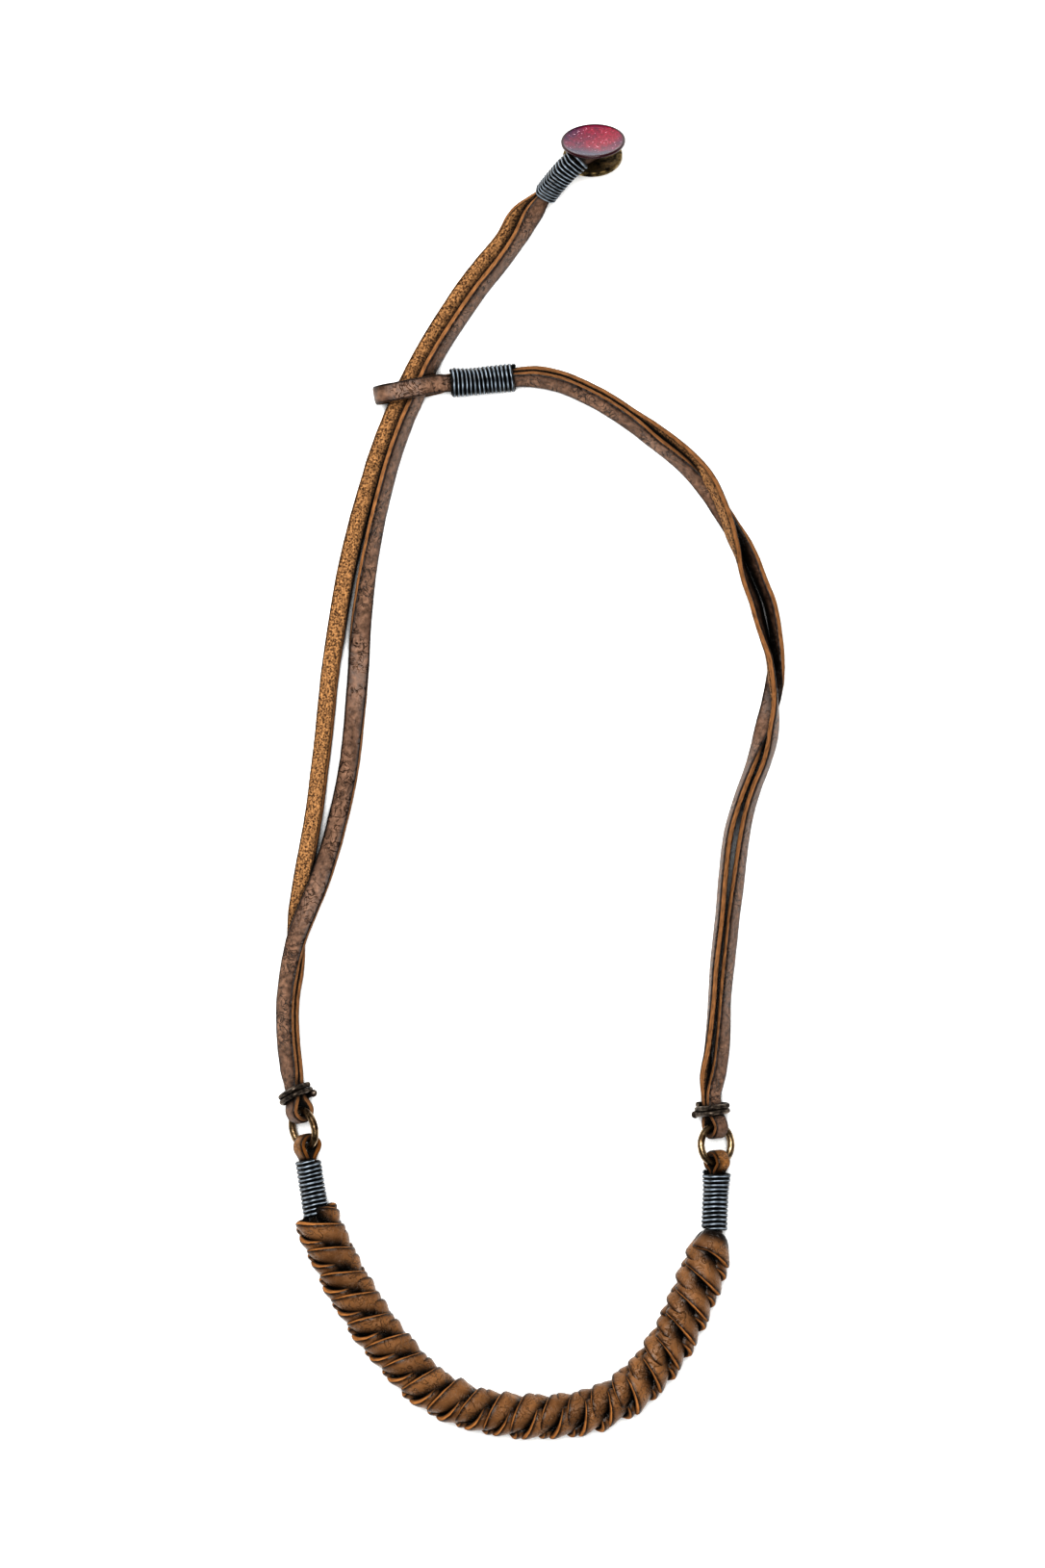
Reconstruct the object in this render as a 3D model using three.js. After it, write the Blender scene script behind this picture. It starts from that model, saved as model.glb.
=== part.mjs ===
// A braided leather necklace, laid out flat on a table.
//
// Two flat laces, each doubled into an endless band, make the straps. A spiral
// sinnet of two more laces round a doubled core is the front of the necklace.
// Two brass rings join straps and braid, thread whippings and wire ties hold the
// bends, and a brass button with an enamelled cap goes through a loop to close it.
//
// Millimetres. X is across the necklace, Y runs from the braid to the button, and
// Z is up from the table.

import * as THREE from 'three';

// ------------------------------------------------------------ driving dimensions

const lace = { width: 3.0, thick: 1.15 };                  // a lace that lies free
const bound = { width: 2.1, thick: 0.95, gap: 0.2 };     // and under a thread whipping
const tied = { width: 2.6, thick: 1.1, gap: 0.25 };       // and under a wire tie
const thread = { clear: 0.24, valley: 0.42, ridge: 0.62 }; // from the laces outwards
const tieWire = { radius: 0.42, clear: 0.28, turns: 2, pitch: 1.0, back: 0.35, ballRadius: 0.62 };
const ringWire = { radius: 0.6, ringRadius: 3.05 };
const ringFold = { radius: 1.62, width: 2.4, thick: 1.1 }; // a lace bent round a ring
const toggleFold = { radius: 2.55 };                       // the open end of the loop
const neckFold = { radius: 1.6, width: 1.7, thick: 0.85 }; // a lace bent round the button

const braid = { knots: 22, coreRadius: 2.14, height: 3.52 };
const braidLace = { width: 3.0, thick: 1.2, startAngle: 200 };
const coreLace = { width: 2.6, thick: 1.1, lean: 44, leanGain: 6 };

const cap = { radius: 5.2, rimThick: 0.5, rimWidth: 0.4, dishDepth: 0.55, thick: 0.9 };
const base = { radius: 4.8, thick: 0.9, rimWidth: 0.6, recess: 0.3, neckRadius: 1.0, neckTop: 3.3 };

// ------------------------------------------------------------ materials

const finish = (color, roughness, metalness) =>
  new THREE.MeshStandardMaterial({ color, roughness, metalness });

const strapLeather = finish('#8a6b52', 0.75, 0);
const braidLeather = finish('#8b6645', 0.7, 0);
const coreLeather = finish('#6f5038', 0.8, 0);
const waxedThread = finish('#39424a', 0.5, 0);
const agedBrass = finish('#8a7346', 0.35, 1);
const darkWire = finish('#4a4038', 0.45, 1);
const redEnamel = finish('#9c3a4c', 0.2, 0);

// ------------------------------------------------------------ rings, ties and folds

// The place and tilt of each ring: "along" runs through both bends on it, and
// "edge" is the second direction of its plane.
const leftRing = ringPlace(new THREE.Vector3(-36.65, -55.8, 3.06), [-0.216, 0.976], 37);
const rightRing = ringPlace(new THREE.Vector3(30.2, -58.4, 2.55), [-0.05, 0.999], -54);

function ringPlace(centre, [x, y], lean) {
  const along = new THREE.Vector3(x, y, 0).normalize();
  return { centre, along, edge: widthAxis(along.clone().negate(), lean) };
}

// ------------------------------------------------------------ routes
//
// Rows run towards the ring. "lean" is the angle of a lace's width from upright,
// turned about its route: 0 stands on an edge, 90 lies flat. "lift" is how far it
// lies above where that lean alone would put it, on the table.

const leftUpper = [
  { x: 0.5, y: 92.2, lean: 130, lift: 1.8 },
  { x: -1.7, y: 88.4, lean: 146, lift: 0.7 },
  { x: -4.7, y: 84.2, lean: 150, lift: 0.1 },
  { x: -7.9, y: 80.2, lean: 150, lift: 0 },
  { x: -13.1, y: 72.6, lean: 150, lift: 0.1 },
  { x: -15.9, y: 67.8, lean: 150, lift: 1.1 },
  { x: -17.3, y: 64.8, lean: 150, lift: 1.6 },
  { x: -18.7, y: 61.6, lean: 150, lift: 1.55 },
  { x: -20.2, y: 58.2, lean: 149, lift: 1.0 },
  { x: -22.0, y: 53.2, lean: 148, lift: 0.1 },
  { x: -23.3, y: 48.6, lean: 146, lift: 0 },
  { x: -24.8, y: 42.4, lean: 143, lift: 0 },
  { x: -26.2, y: 33.8, lean: 135, lift: 0 },
  { x: -27.1, y: 25.5, lean: 120, lift: 0 },
  { x: -27.7, y: 18.5, lean: 92, lift: 0 },
  { x: -28.5, y: 10.0, lean: 67, lift: 0 },
  { x: -29.4, y: 2.3, lean: 65, lift: 0 },
  { x: -30.7, y: -4.0, lean: 65, lift: 0 },
  { x: -32.0, y: -9.2, lean: 65, lift: 0.2 },
  { x: -33.1, y: -12.9, lean: 66, lift: 1.0 },
  { x: -34.3, y: -16.4, lean: 72, lift: 1.75 },
  { x: -36.0, y: -20.4, lean: 75, lift: 1.85 },
  { x: -37.7, y: -24.8, lean: 66, lift: 1.7 },
  { x: -38.8, y: -29.3, lean: 56, lift: 1.15 },
  { x: -39.6, y: -35.4, lean: 50, lift: 1.05 },
  { x: -39.5, y: -41.5, lean: 50, lift: 1.05 },
  { x: -39.0, y: -46.2, lean: 48, lift: 1.15 },
];

const leftLower = [
  { x: -1.9, y: 92.2, lean: 112, lift: 0.45 },
  { x: -4.1, y: 88.4, lean: 96, lift: 0.2 },
  { x: -7.6, y: 84.2, lean: 90, lift: 0.1 },
  { x: -10.7, y: 80.2, lean: 90, lift: 0 },
  { x: -15.6, y: 72.6, lean: 90, lift: 0.1 },
  { x: -18.3, y: 67.8, lean: 90, lift: 1.1 },
  { x: -19.8, y: 64.8, lean: 90, lift: 1.6 },
  { x: -21.3, y: 61.6, lean: 90, lift: 1.55 },
  { x: -22.8, y: 58.2, lean: 90, lift: 1.0 },
  { x: -24.7, y: 53.2, lean: 90, lift: 0.1 },
  { x: -26.1, y: 48.6, lean: 90, lift: 0 },
  { x: -27.9, y: 42.4, lean: 88, lift: 0 },
  { x: -30.0, y: 33.8, lean: 80, lift: 0 },
  { x: -31.5, y: 24.8, lean: 68, lift: 0 },
  { x: -32.4, y: 17.9, lean: 65, lift: 0 },
  { x: -33.3, y: 9.0, lean: 65, lift: 0 },
  { x: -34.1, y: 2.3, lean: 65, lift: 0 },
  { x: -34.9, y: -4.0, lean: 65, lift: 0 },
  { x: -35.8, y: -9.5, lean: 66, lift: 0 },
  { x: -36.5, y: -13.2, lean: 72, lift: 0 },
  { x: -37.1, y: -16.8, lean: 80, lift: 0 },
  { x: -37.7, y: -20.8, lean: 80, lift: 0 },
  { x: -37.9, y: -24.8, lean: 66, lift: 0 },
  { x: -37.9, y: -29.3, lean: 56, lift: 0 },
  { x: -38.7, y: -35.4, lean: 50, lift: 0 },
  { x: -38.6, y: -41.5, lean: 50, lift: 0 },
  { x: -38.1, y: -46.2, lean: 48, lift: 0 },
];

const rightInner = [
  { x: 20.3, y: 55.4, lean: 34, lift: 0.3 },
  { x: 23.2, y: 52.7, lean: 32, lift: 0 },
  { x: 25.5, y: 50.4, lean: 36, lift: 0 },
  { x: 27.0, y: 47.9, lean: 59, lift: 0 },
  { x: 29.1, y: 46.0, lean: 83, lift: 0 },
  { x: 31.0, y: 43.7, lean: 89, lift: 0 },
  { x: 33.0, y: 41.0, lean: 73, lift: 0 },
  { x: 35.4, y: 38.4, lean: 36, lift: 0 },
  { x: 36.7, y: 36.0, lean: 10, lift: 0 },
  { x: 38.1, y: 33.0, lean: 4, lift: 0 },
  { x: 39.3, y: 29.6, lean: 0, lift: 0 },
  { x: 40.1, y: 26.6, lean: 2, lift: 0 },
  { x: 40.6, y: 23.6, lean: 6, lift: 0 },
  { x: 40.7, y: 21.0, lean: 22, lift: 0 },
  { x: 40.2, y: 18.4, lean: 49, lift: 0 },
  { x: 39.6, y: 15.6, lean: 84, lift: 0 },
  { x: 38.9, y: 12.4, lean: 85, lift: 0 },
  { x: 38.0, y: 9.2, lean: 61, lift: 0.05 },
  { x: 36.9, y: 6.0, lean: 31, lift: 0 },
  { x: 35.7, y: 2.6, lean: 17, lift: 0 },
  { x: 33.8, y: -2.5, lean: 13, lift: 0 },
  { x: 32.2, y: -8.2, lean: 12, lift: 0.1 },
  { x: 31.4, y: -14.8, lean: 12, lift: 0.1 },
  { x: 30.8, y: -21.8, lean: 12, lift: 0.2 },
  { x: 30.0, y: -29.0, lean: 10, lift: 0.1 },
  { x: 29.5, y: -36.5, lean: 6, lift: 0.2 },
  { x: 28.9, y: -43.0, lean: -3, lift: 0.05 },
  { x: 28.6, y: -47.3, lean: -27, lift: 0.1 },
];

const rightOuter = [
  { x: 20.4, y: 57.2, lean: 40, lift: 0 },
  { x: 23.7, y: 54.8, lean: 33, lift: 0.05 },
  { x: 26.7, y: 52.2, lean: 24, lift: 0.2 },
  { x: 29.3, y: 49.2, lean: 10, lift: 1.7 },
  { x: 30.8, y: 45.9, lean: 18, lift: 1.9 },
  { x: 32.2, y: 42.8, lean: 20, lift: 1.65 },
  { x: 33.1, y: 39.6, lean: 22, lift: 1.75 },
  { x: 33.9, y: 36.5, lean: 25, lift: 0.3 },
  { x: 35.0, y: 33.0, lean: 20, lift: 0 },
  { x: 36.1, y: 29.6, lean: 15, lift: 0 },
  { x: 37.2, y: 26.2, lean: 12, lift: 0 },
  { x: 38.2, y: 22.8, lean: 11, lift: 0.2 },
  { x: 38.8, y: 20.0, lean: 11, lift: 1.3 },
  { x: 39.2, y: 17.3, lean: 6, lift: 2.1 },
  { x: 39.6, y: 14.5, lean: 0, lift: 1.6 },
  { x: 39.7, y: 11.8, lean: -9, lift: 2.2 },
  { x: 39.5, y: 9.2, lean: -21, lift: 2.15 },
  { x: 39.1, y: 6.3, lean: -19, lift: 1.4 },
  { x: 38.2, y: 3.2, lean: -16, lift: 0.2 },
  { x: 36.6, y: -0.9, lean: -20, lift: 0.05 },
  { x: 35.4, y: -5.0, lean: -22, lift: 0 },
  { x: 34.5, y: -10.0, lean: -24, lift: 0 },
  { x: 33.8, y: -15.5, lean: -29, lift: 0 },
  { x: 33.0, y: -21.5, lean: -32, lift: 0 },
  { x: 32.3, y: -28.2, lean: -31, lift: 0 },
  { x: 31.6, y: -35.2, lean: -30, lift: 0 },
  { x: 31.3, y: -41.5, lean: -42, lift: 0.1 },
  { x: 30.7, y: -46.4, lean: -43, lift: 0.3 },
];

// The two sides of the loop, between its open end and its whipping.
const loopUpper = [
  { x: -20.4, y: 63.75, z: 5.72, lean: 90 },
  { x: -17.6, y: 64.25, z: 5.7, lean: 90 },
  { x: -15.0, y: 64.8, z: 4.35, lean: 84 },
];

const loopLower = [
  { x: -20.4, y: 63.75, z: 0.62, lean: 90 },
  { x: -17.8, y: 64.15, z: 0.62, lean: 90 },
  { x: -15.3, y: 64.65, z: 0.95, lean: 86 },
];

// Where two laces are held together, the rows give the middle of the pair.
const buttonBinding = [
  { x: 7.5, y: 100.5, z: 8.25, lean: 129 },
  { x: 5.8, y: 99.4, z: 8.62, lean: 124 },
  { x: 4.2, y: 97.5, z: 6.6, lean: 115 },
  { x: 2.5, y: 95.4, z: 4.1, lean: 116 },
];

const loopBinding = [
  { x: -12.7, y: 65.0, z: 3.05, lean: 76 },
  { x: -9.3, y: 65.2, z: 2.55, lean: 69 },
  { x: -5.8, y: 65.6, z: 2.2, lean: 59 },
  { x: -2.4, y: 65.9, z: 2.15, lean: 48 },
];

const rightArc = [
  { x: 1.0, y: 66.0, z: 2.0, lean: 45 },
  { x: 5.0, y: 65.2, z: 1.98, lean: 45 },
  { x: 9.0, y: 63.55, z: 1.98, lean: 45 },
  { x: 12.8, y: 61.5, z: 1.98, lean: 44 },
  { x: 16.6, y: 59.0, z: 1.97, lean: 42 },
];

const leftTieRows = [
  { x: -38.2, y: -48.7, z: 2.4, lean: 46 },
  { x: -37.8, y: -50.7, z: 2.92, lean: 42 },
];

const rightTieRows = [
  { x: 29.4, y: -50.4, z: 2.35, lean: -47 },
  { x: 29.6, y: -53.0, z: 2.88, lean: -51 },
];

const leftCoreBinding = [
  { x: -35.95, y: -61.0, z: 3.0, lean: 37 },
  { x: -35.45, y: -64.1, z: 2.9, lean: 38 },
  { x: -34.95, y: -67.3, z: 3.0, lean: 40 },
  { x: -34.5, y: -70.2, z: 3.2, lean: 42 },
];

const rightCoreBinding = [
  { x: 29.9, y: -72.2, z: 3.1, lean: 50 },
  { x: 30.0, y: -69.0, z: 2.75, lean: 52 },
  { x: 30.15, y: -65.9, z: 2.5, lean: 54 },
  { x: 30.3, y: -62.9, z: 2.5, lean: 54 },
];

// The middle of the braid, from the left whipping to the right one.
const braidRoute = [
  [-33.9, -72.0], [-31.5, -77.1], [-27.3, -84.8], [-22.3, -91.5], [-16.2, -97.7],
  [-8.4, -101.3], [-0.2, -102.4], [8.5, -101.8], [16.3, -98.2], [21.8, -92.1],
  [26.0, -84.0], [29.3, -75.6], [29.7, -74.0],
];

// ------------------------------------------------------------ frames along a route

function perpendicularTo(vector, direction) {
  const along = direction.clone().normalize();
  return vector.clone().addScaledVector(along, -vector.dot(along)).normalize();
}

function widthAxis(towardsRing, leanDegrees) {
  const lean = THREE.MathUtils.degToRad(leanDegrees);
  const up = new THREE.Vector3(0, 0, 1);
  const side = new THREE.Vector3().crossVectors(up, towardsRing).normalize();
  const axis = up.multiplyScalar(Math.cos(lean)).addScaledVector(side, Math.sin(lean));
  return perpendicularTo(axis, towardsRing);
}

function directions(points, closed = false) {
  const count = points.length;
  return points.map((point, i) => {
    const next = closed ? points[(i + 1) % count] : points[Math.min(i + 1, count - 1)];
    const last = closed ? points[(i + count - 1) % count] : points[Math.max(i - 1, 0)];
    return next.clone().sub(last).normalize();
  });
}

function restHeight(leanDegrees) {
  const lean = THREE.MathUtils.degToRad(leanDegrees);
  const halfWidth = (lace.width / 2) * Math.abs(Math.cos(lean));
  return halfWidth + (lace.thick / 2) * Math.abs(Math.sin(lean));
}

// Stations of one lace: a point, the direction of its width, and its section.
function freeRun(rows) {
  const points = rows.map((row) =>
    new THREE.Vector3(row.x, row.y, row.z ?? restHeight(row.lean) + row.lift));
  const along = directions(points);
  return rows.map((row, i) => ({
    point: points[i],
    edge: widthAxis(along[i], row.lean),
    width: lace.width,
    thick: lace.thick,
  }));
}

// One lace of a held pair, on the side given by +1 or -1.
function pairedRun(rows, side, section) {
  const centres = rows.map((row) => new THREE.Vector3(row.x, row.y, row.z));
  const along = directions(centres);
  return rows.map((row, i) => {
    const edge = widthAxis(along[i], row.lean);
    const across = new THREE.Vector3().crossVectors(along[i], edge);
    const apart = (section.thick + (section.gap ?? bound.gap)) / 2;
    const point = centres[i].clone().addScaledVector(across, side * apart);
    return { point, edge, width: section.width, thick: section.thick };
  });
}

// A half turn about "edge", for a lace that arrives along "travel".
function fold(centre, travel, edge, { radius, width, thick }) {
  const steps = 6;
  const arrive = perpendicularTo(travel, edge);
  const outward = new THREE.Vector3().crossVectors(arrive, edge);
  return Array.from({ length: steps + 1 }, (_, i) => {
    const turn = (Math.PI * i) / steps;
    const point = centre.clone()
      .addScaledVector(outward, radius * Math.cos(turn))
      .addScaledVector(arrive, radius * Math.sin(turn));
    return { point, edge: edge.clone(), width, thick };
  });
}

// More stations between the given ones, on smooth curves.
function smooth(stations, perSpan, closed) {
  const path = new THREE.CatmullRomCurve3(stations.map((s) => s.point), closed, 'centripetal');
  const edges = new THREE.CatmullRomCurve3(stations.map((s) => s.edge), closed, 'catmullrom', 0.5);
  const sections = new THREE.CatmullRomCurve3(
    stations.map((s) => new THREE.Vector3(s.width, s.thick, 0)), closed, 'catmullrom', 0.2);
  const spans = closed ? stations.length : stations.length - 1;
  const count = spans * perSpan + (closed ? 0 : 1);
  return Array.from({ length: count }, (_, i) => {
    const t = i / (spans * perSpan);
    const size = sections.getPoint(t);
    return { point: path.getPoint(t), edge: edges.getPoint(t), width: size.x, thick: size.y };
  });
}

// ------------------------------------------------------------ closed bodies

// Joins loops of points into one closed body. The loops follow each other along a
// route, and each runs anticlockwise as seen from the route's far end.
function bodyFromLoops(loops, closed) {
  const sides = loops[0].length;
  const positions = loops.flat().flatMap((point) => point.toArray());
  const index = [];
  const spans = closed ? loops.length : loops.length - 1;
  for (let i = 0; i < spans; i += 1) {
    const here = i * sides;
    const there = ((i + 1) % loops.length) * sides;
    for (let j = 0; j < sides; j += 1) {
      const k = (j + 1) % sides;
      index.push(here + j, here + k, there + k, here + j, there + k, there + j);
    }
  }
  if (!closed) {
    const last = (loops.length - 1) * sides;
    for (let j = 1; j < sides - 1; j += 1) {
      index.push(0, j + 1, j, last, last + j, last + j + 1);
    }
  }
  const geometry = new THREE.BufferGeometry();
  geometry.setAttribute('position', new THREE.Float32BufferAttribute(positions, 3));
  geometry.setIndex(index);
  return geometry;
}

const flatSection = [[1, 1], [-1, 1], [-1, -1], [1, -1]];

const roundSection = (sides) => Array.from({ length: sides }, (_, i) => {
  const angle = (2 * Math.PI * (i + 0.5)) / sides;
  return [Math.cos(angle), Math.sin(angle)];
});

function loft(stations, section, closed) {
  const along = directions(stations.map((s) => s.point), closed);
  const loops = stations.map((station, i) => {
    const edge = perpendicularTo(station.edge, along[i]);
    const face = new THREE.Vector3().crossVectors(along[i], edge);
    return section.map(([a, b]) => station.point.clone()
      .addScaledVector(edge, (a * station.width) / 2)
      .addScaledVector(face, (b * station.thick) / 2));
  });
  return bodyFromLoops(loops, closed);
}

// ------------------------------------------------------------ straps

// The button stands on the rim of its base. "up" is the base's axis.
const buttonBase = {
  foot: new THREE.Vector3(10.2, 101.3, 3.46),
  up: new THREE.Vector3(-0.04, 0.718, 0.695).normalize(),
};
const buttonCap = {
  rim: new THREE.Vector3(10.23, 104.0, 7.5),
  up: new THREE.Vector3(-0.04, 0.823, 0.567).normalize(),
};
const neckMiddle = 2.05;

function ringFoldOf(ring, side, travel) {
  const centre = ring.centre.clone().addScaledVector(ring.along, side * ringWire.ringRadius);
  return fold(centre, travel, ring.edge, ringFold);
}

function leftStrap() {
  const down = [
    ...pairedRun(buttonBinding, 1, bound),
    ...freeRun(leftUpper),
    ...pairedRun(leftTieRows, 1, tied),
  ];
  const up = [
    ...pairedRun(buttonBinding, -1, bound),
    ...freeRun(leftLower),
    ...pairedRun(leftTieRows, -1, tied),
  ].reverse();
  const roundRing = ringFoldOf(leftRing, 1, leftRing.along.clone().negate());
  const bindingEnd = buttonBinding[0];
  const neck = buttonBase.foot.clone().addScaledVector(buttonBase.up, neckMiddle);
  const intoButton = neck.clone().sub(new THREE.Vector3(bindingEnd.x, bindingEnd.y, bindingEnd.z));
  const roundNeck = fold(neck, intoButton, buttonBase.up.clone().negate(), neckFold);
  return smooth([...down, ...roundRing, ...up, ...roundNeck], 2, true);
}

function rightStrap() {
  const openEnd = new THREE.Vector3(-22.2, 63.4, 0.62 + toggleFold.radius);
  const intoLoop = new THREE.Vector3(-0.983, -0.182, 0);
  const inner = [
    ...freeRun(loopUpper),
    ...pairedRun(loopBinding, 1, bound),
    ...pairedRun(rightArc, 1, lace),
    ...freeRun(rightInner),
    ...pairedRun(rightTieRows, 1, tied),
  ];
  const outer = [
    ...freeRun(loopLower),
    ...pairedRun(loopBinding, -1, bound),
    ...pairedRun(rightArc, -1, lace),
    ...freeRun(rightOuter),
    ...pairedRun(rightTieRows, -1, tied),
  ].reverse();
  const roundRing = ringFoldOf(rightRing, 1, rightRing.along.clone().negate());
  const flat = widthAxis(intoLoop.clone().negate(), 90);
  const roundToggle = fold(openEnd, intoLoop, flat, { ...lace, ...toggleFold });
  return smooth([...inner, ...roundRing, ...outer, ...roundToggle], 2, true);
}

// ------------------------------------------------------------ braid

const braidAxis = new THREE.CatmullRomCurve3(
  braidRoute.map(([x, y]) => new THREE.Vector3(x, y, braid.height)), false, 'centripetal');

function braidCore() {
  const middle = braidRoute.slice(1, -1).map(([x, y], i, all) => {
    const lean = coreLace.lean + (coreLace.leanGain * i) / all.length;
    return { x, y, z: braid.height, lean };
  });
  const rows = [...leftCoreBinding, ...middle, ...rightCoreBinding];
  const section = { ...lace, width: coreLace.width, thick: coreLace.thick, gap: bound.gap };
  const inThread = (i) => i < leftCoreBinding.length || i >= rows.length - rightCoreBinding.length;
  const runOn = (side) => {
    const held = pairedRun(rows, side, bound);
    return pairedRun(rows, side, section).map((free, i) => (inThread(i) ? held[i] : free));
  };
  const roundRight = ringFoldOf(rightRing, -1, rightRing.along.clone());
  const roundLeft = ringFoldOf(leftRing, -1, leftRing.along.clone());
  return smooth([...runOn(1), ...roundRight, ...runOn(-1).reverse(), ...roundLeft], 2, true);
}

// One working lace of the sinnet: it goes once round the core in two knots.
function braidStrand(startDegrees) {
  const stepsPerTurn = 14;
  const turns = braid.knots / 2;
  const count = Math.round(turns * stepsPerTurn);
  const radius = braid.coreRadius + braidLace.thick / 2;
  const length = braidAxis.getLength();
  const climb = (2 * Math.PI * radius * turns) / length;
  const start = THREE.MathUtils.degToRad(startDegrees);
  const up = new THREE.Vector3(0, 0, 1);
  return Array.from({ length: count + 1 }, (_, i) => {
    const fraction = i / count;
    const along = braidAxis.getTangentAt(fraction);
    const left = new THREE.Vector3().crossVectors(up, along).normalize();
    const angle = start + 2 * Math.PI * turns * fraction;
    const outward = left.clone().multiplyScalar(Math.sin(angle)).addScaledVector(up, Math.cos(angle));
    const around = left.clone().multiplyScalar(Math.cos(angle)).addScaledVector(up, -Math.sin(angle));
    const edge = along.clone().multiplyScalar(climb).sub(around).normalize();
    const point = braidAxis.getPointAt(fraction).addScaledVector(outward, radius);
    return { point, edge, width: braidLace.width, thick: braidLace.thick };
  });
}

// ------------------------------------------------------------ thread and wire

// The outline round a held pair of laces, a given distance off them.
function pairOutline(section, offset) {
  const halfWidth = section.width / 2;
  const halfDepth = section.thick + section.gap / 2;
  const corners = [[1, 1, 0], [-1, 1, 90], [-1, -1, 180], [1, -1, 270]];
  return corners.flatMap(([a, b, first]) => [20, 70].map((turn) => {
    const angle = THREE.MathUtils.degToRad(first + turn);
    return [a * halfWidth + offset * Math.cos(angle), b * halfDepth + offset * Math.sin(angle)];
  }));
}

function pairFrames(rows, perSpan) {
  const centres = rows.map((row) => new THREE.Vector3(row.x, row.y, row.z));
  const along = directions(centres);
  const stations = rows.map((row, i) => (
    { point: centres[i], edge: widthAxis(along[i], row.lean), width: 1, thick: 1 }));
  const fine = smooth(stations, perSpan, false);
  const fineAlong = directions(fine.map((s) => s.point));
  return fine.map((station, i) => {
    const edge = perpendicularTo(station.edge, fineAlong[i]);
    const across = new THREE.Vector3().crossVectors(fineAlong[i], edge);
    return { point: station.point, along: fineAlong[i], edge, across };
  });
}

function outlineAt(frame, outline) {
  return outline.map(([a, b]) => frame.point.clone()
    .addScaledVector(frame.edge, a).addScaledVector(frame.across, b));
}

// A whipping: one open sleeve whose outside has a ridge for each turn of thread.
function whipping(rows, turns, flare = 0) {
  const frames = pairFrames(rows, Math.ceil((2 * turns) / (rows.length - 1)));
  const outside = frames.map((frame, i) => {
    const height = i % 2 === 0 ? thread.valley : thread.ridge;
    const extra = i >= frames.length - 3 ? flare : 0;
    return outlineAt(frame, pairOutline(bound, thread.clear / 2 + height + extra));
  });
  const inside = frames.filter((_, i) => i % 4 === 0 || i === frames.length - 1)
    .map((frame) => outlineAt(frame, pairOutline(bound, thread.clear)));
  return bodyFromLoops([...outside, ...inside.reverse()], true);
}

// A wire tie: two turns round the pair, with one end melted into a ball.
function wireTie(row, towards, tilt, startCorner) {
  const along = towards.clone().normalize();
  const edge = perpendicularTo(widthAxis(along, row.lean), along);
  const across = new THREE.Vector3().crossVectors(along, edge);
  const outline = pairOutline(tied, tieWire.clear + tieWire.radius);
  const count = tieWire.turns * outline.length;
  const middle = new THREE.Vector3(row.x, row.y, row.z);
  const stations = Array.from({ length: count }, (_, i) => {
    const [a, b] = outline[(i + startCorner) % outline.length];
    const advance = tieWire.pitch * (i / outline.length - tieWire.turns / 2) + tilt * a - tieWire.back;
    const point = middle.clone().addScaledVector(edge, a).addScaledVector(across, b)
      .addScaledVector(along, advance);
    return { point, edge: along, width: 2 * tieWire.radius, thick: 2 * tieWire.radius };
  });
  return [...stations, ...ballEnd(stations)];
}

// The ball at the end of a wire, as a few sections of a sphere.
function ballEnd(stations) {
  const last = stations.at(-1);
  const onward = last.point.clone().sub(stations.at(-2).point).normalize();
  const centre = last.point.clone().addScaledVector(onward, tieWire.ballRadius);
  return [-0.75, -0.35, 0.1, 0.55, 0.9].map((place) => {
    const width = 2 * tieWire.ballRadius * Math.sqrt(1 - place * place);
    const point = centre.clone().addScaledVector(onward, place * tieWire.ballRadius);
    return { point, edge: last.edge, width, thick: width };
  });
}

// ------------------------------------------------------------ button

function turned(profile, segments) {
  return new THREE.LatheGeometry(profile.map(([r, h]) => new THREE.Vector2(r, h)), segments);
}

// The enamelled cap: a shallow dish with a plain rim. Height 0 is the rim's top.
function capProfile() {
  const { radius, rimThick, rimWidth, dishDepth, thick } = cap;
  const dishRadius = radius - rimWidth;
  const dish = [0, 0.35, 0.65, 0.88, 1].map((f) => [dishRadius * f, -dishDepth * (1 - f * f)]);
  return [[0, -thick], [radius * 0.7, -thick], [radius, -rimThick], [radius, 0], ...dish.reverse()];
}

// The brass base and its neck. Height 0 is the flat back.
function baseProfile() {
  const { radius, thick, rimWidth, recess, neckRadius, neckTop } = base;
  return [
    [0, 0], [radius - 0.2, 0], [radius, 0.2], [radius, thick - 0.1], [radius - 0.1, thick],
    [radius - rimWidth, thick], [radius - rimWidth - 0.3, thick - recess],
    [neckRadius + 0.3, thick - recess], [neckRadius, thick - recess + 0.3],
    [neckRadius, neckTop], [0, neckTop],
  ];
}

// ------------------------------------------------------------ assembly

const necklace = new THREE.Group();

function add(name, geometry, material) {
  const mesh = new THREE.Mesh(geometry, material);
  mesh.name = name;
  necklace.add(mesh);
  return mesh;
}

function addRing(name, ring) {
  const wire = new THREE.TorusGeometry(ringWire.ringRadius, ringWire.radius, 8, 30);
  const mesh = add(name, wire, agedBrass);
  const normal = new THREE.Vector3().crossVectors(ring.along, ring.edge);
  mesh.quaternion.setFromRotationMatrix(
    new THREE.Matrix4().makeBasis(ring.along, ring.edge, normal));
  mesh.position.copy(ring.centre);
}

function addTurned(name, profile, segments, place, up, material) {
  const mesh = add(name, turned(profile, segments), material);
  mesh.quaternion.setFromUnitVectors(new THREE.Vector3(0, 1, 0), up);
  mesh.position.copy(place);
}

add('left_lace', loft(leftStrap(), flatSection, true), strapLeather);
add('right_lace', loft(rightStrap(), flatSection, true), strapLeather);
add('braid_core', loft(braidCore(), flatSection, true), coreLeather);
add('braid_lace_a', loft(braidStrand(braidLace.startAngle), flatSection, false), braidLeather);
add('braid_lace_b', loft(braidStrand(braidLace.startAngle + 180), flatSection, false), braidLeather);

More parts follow.
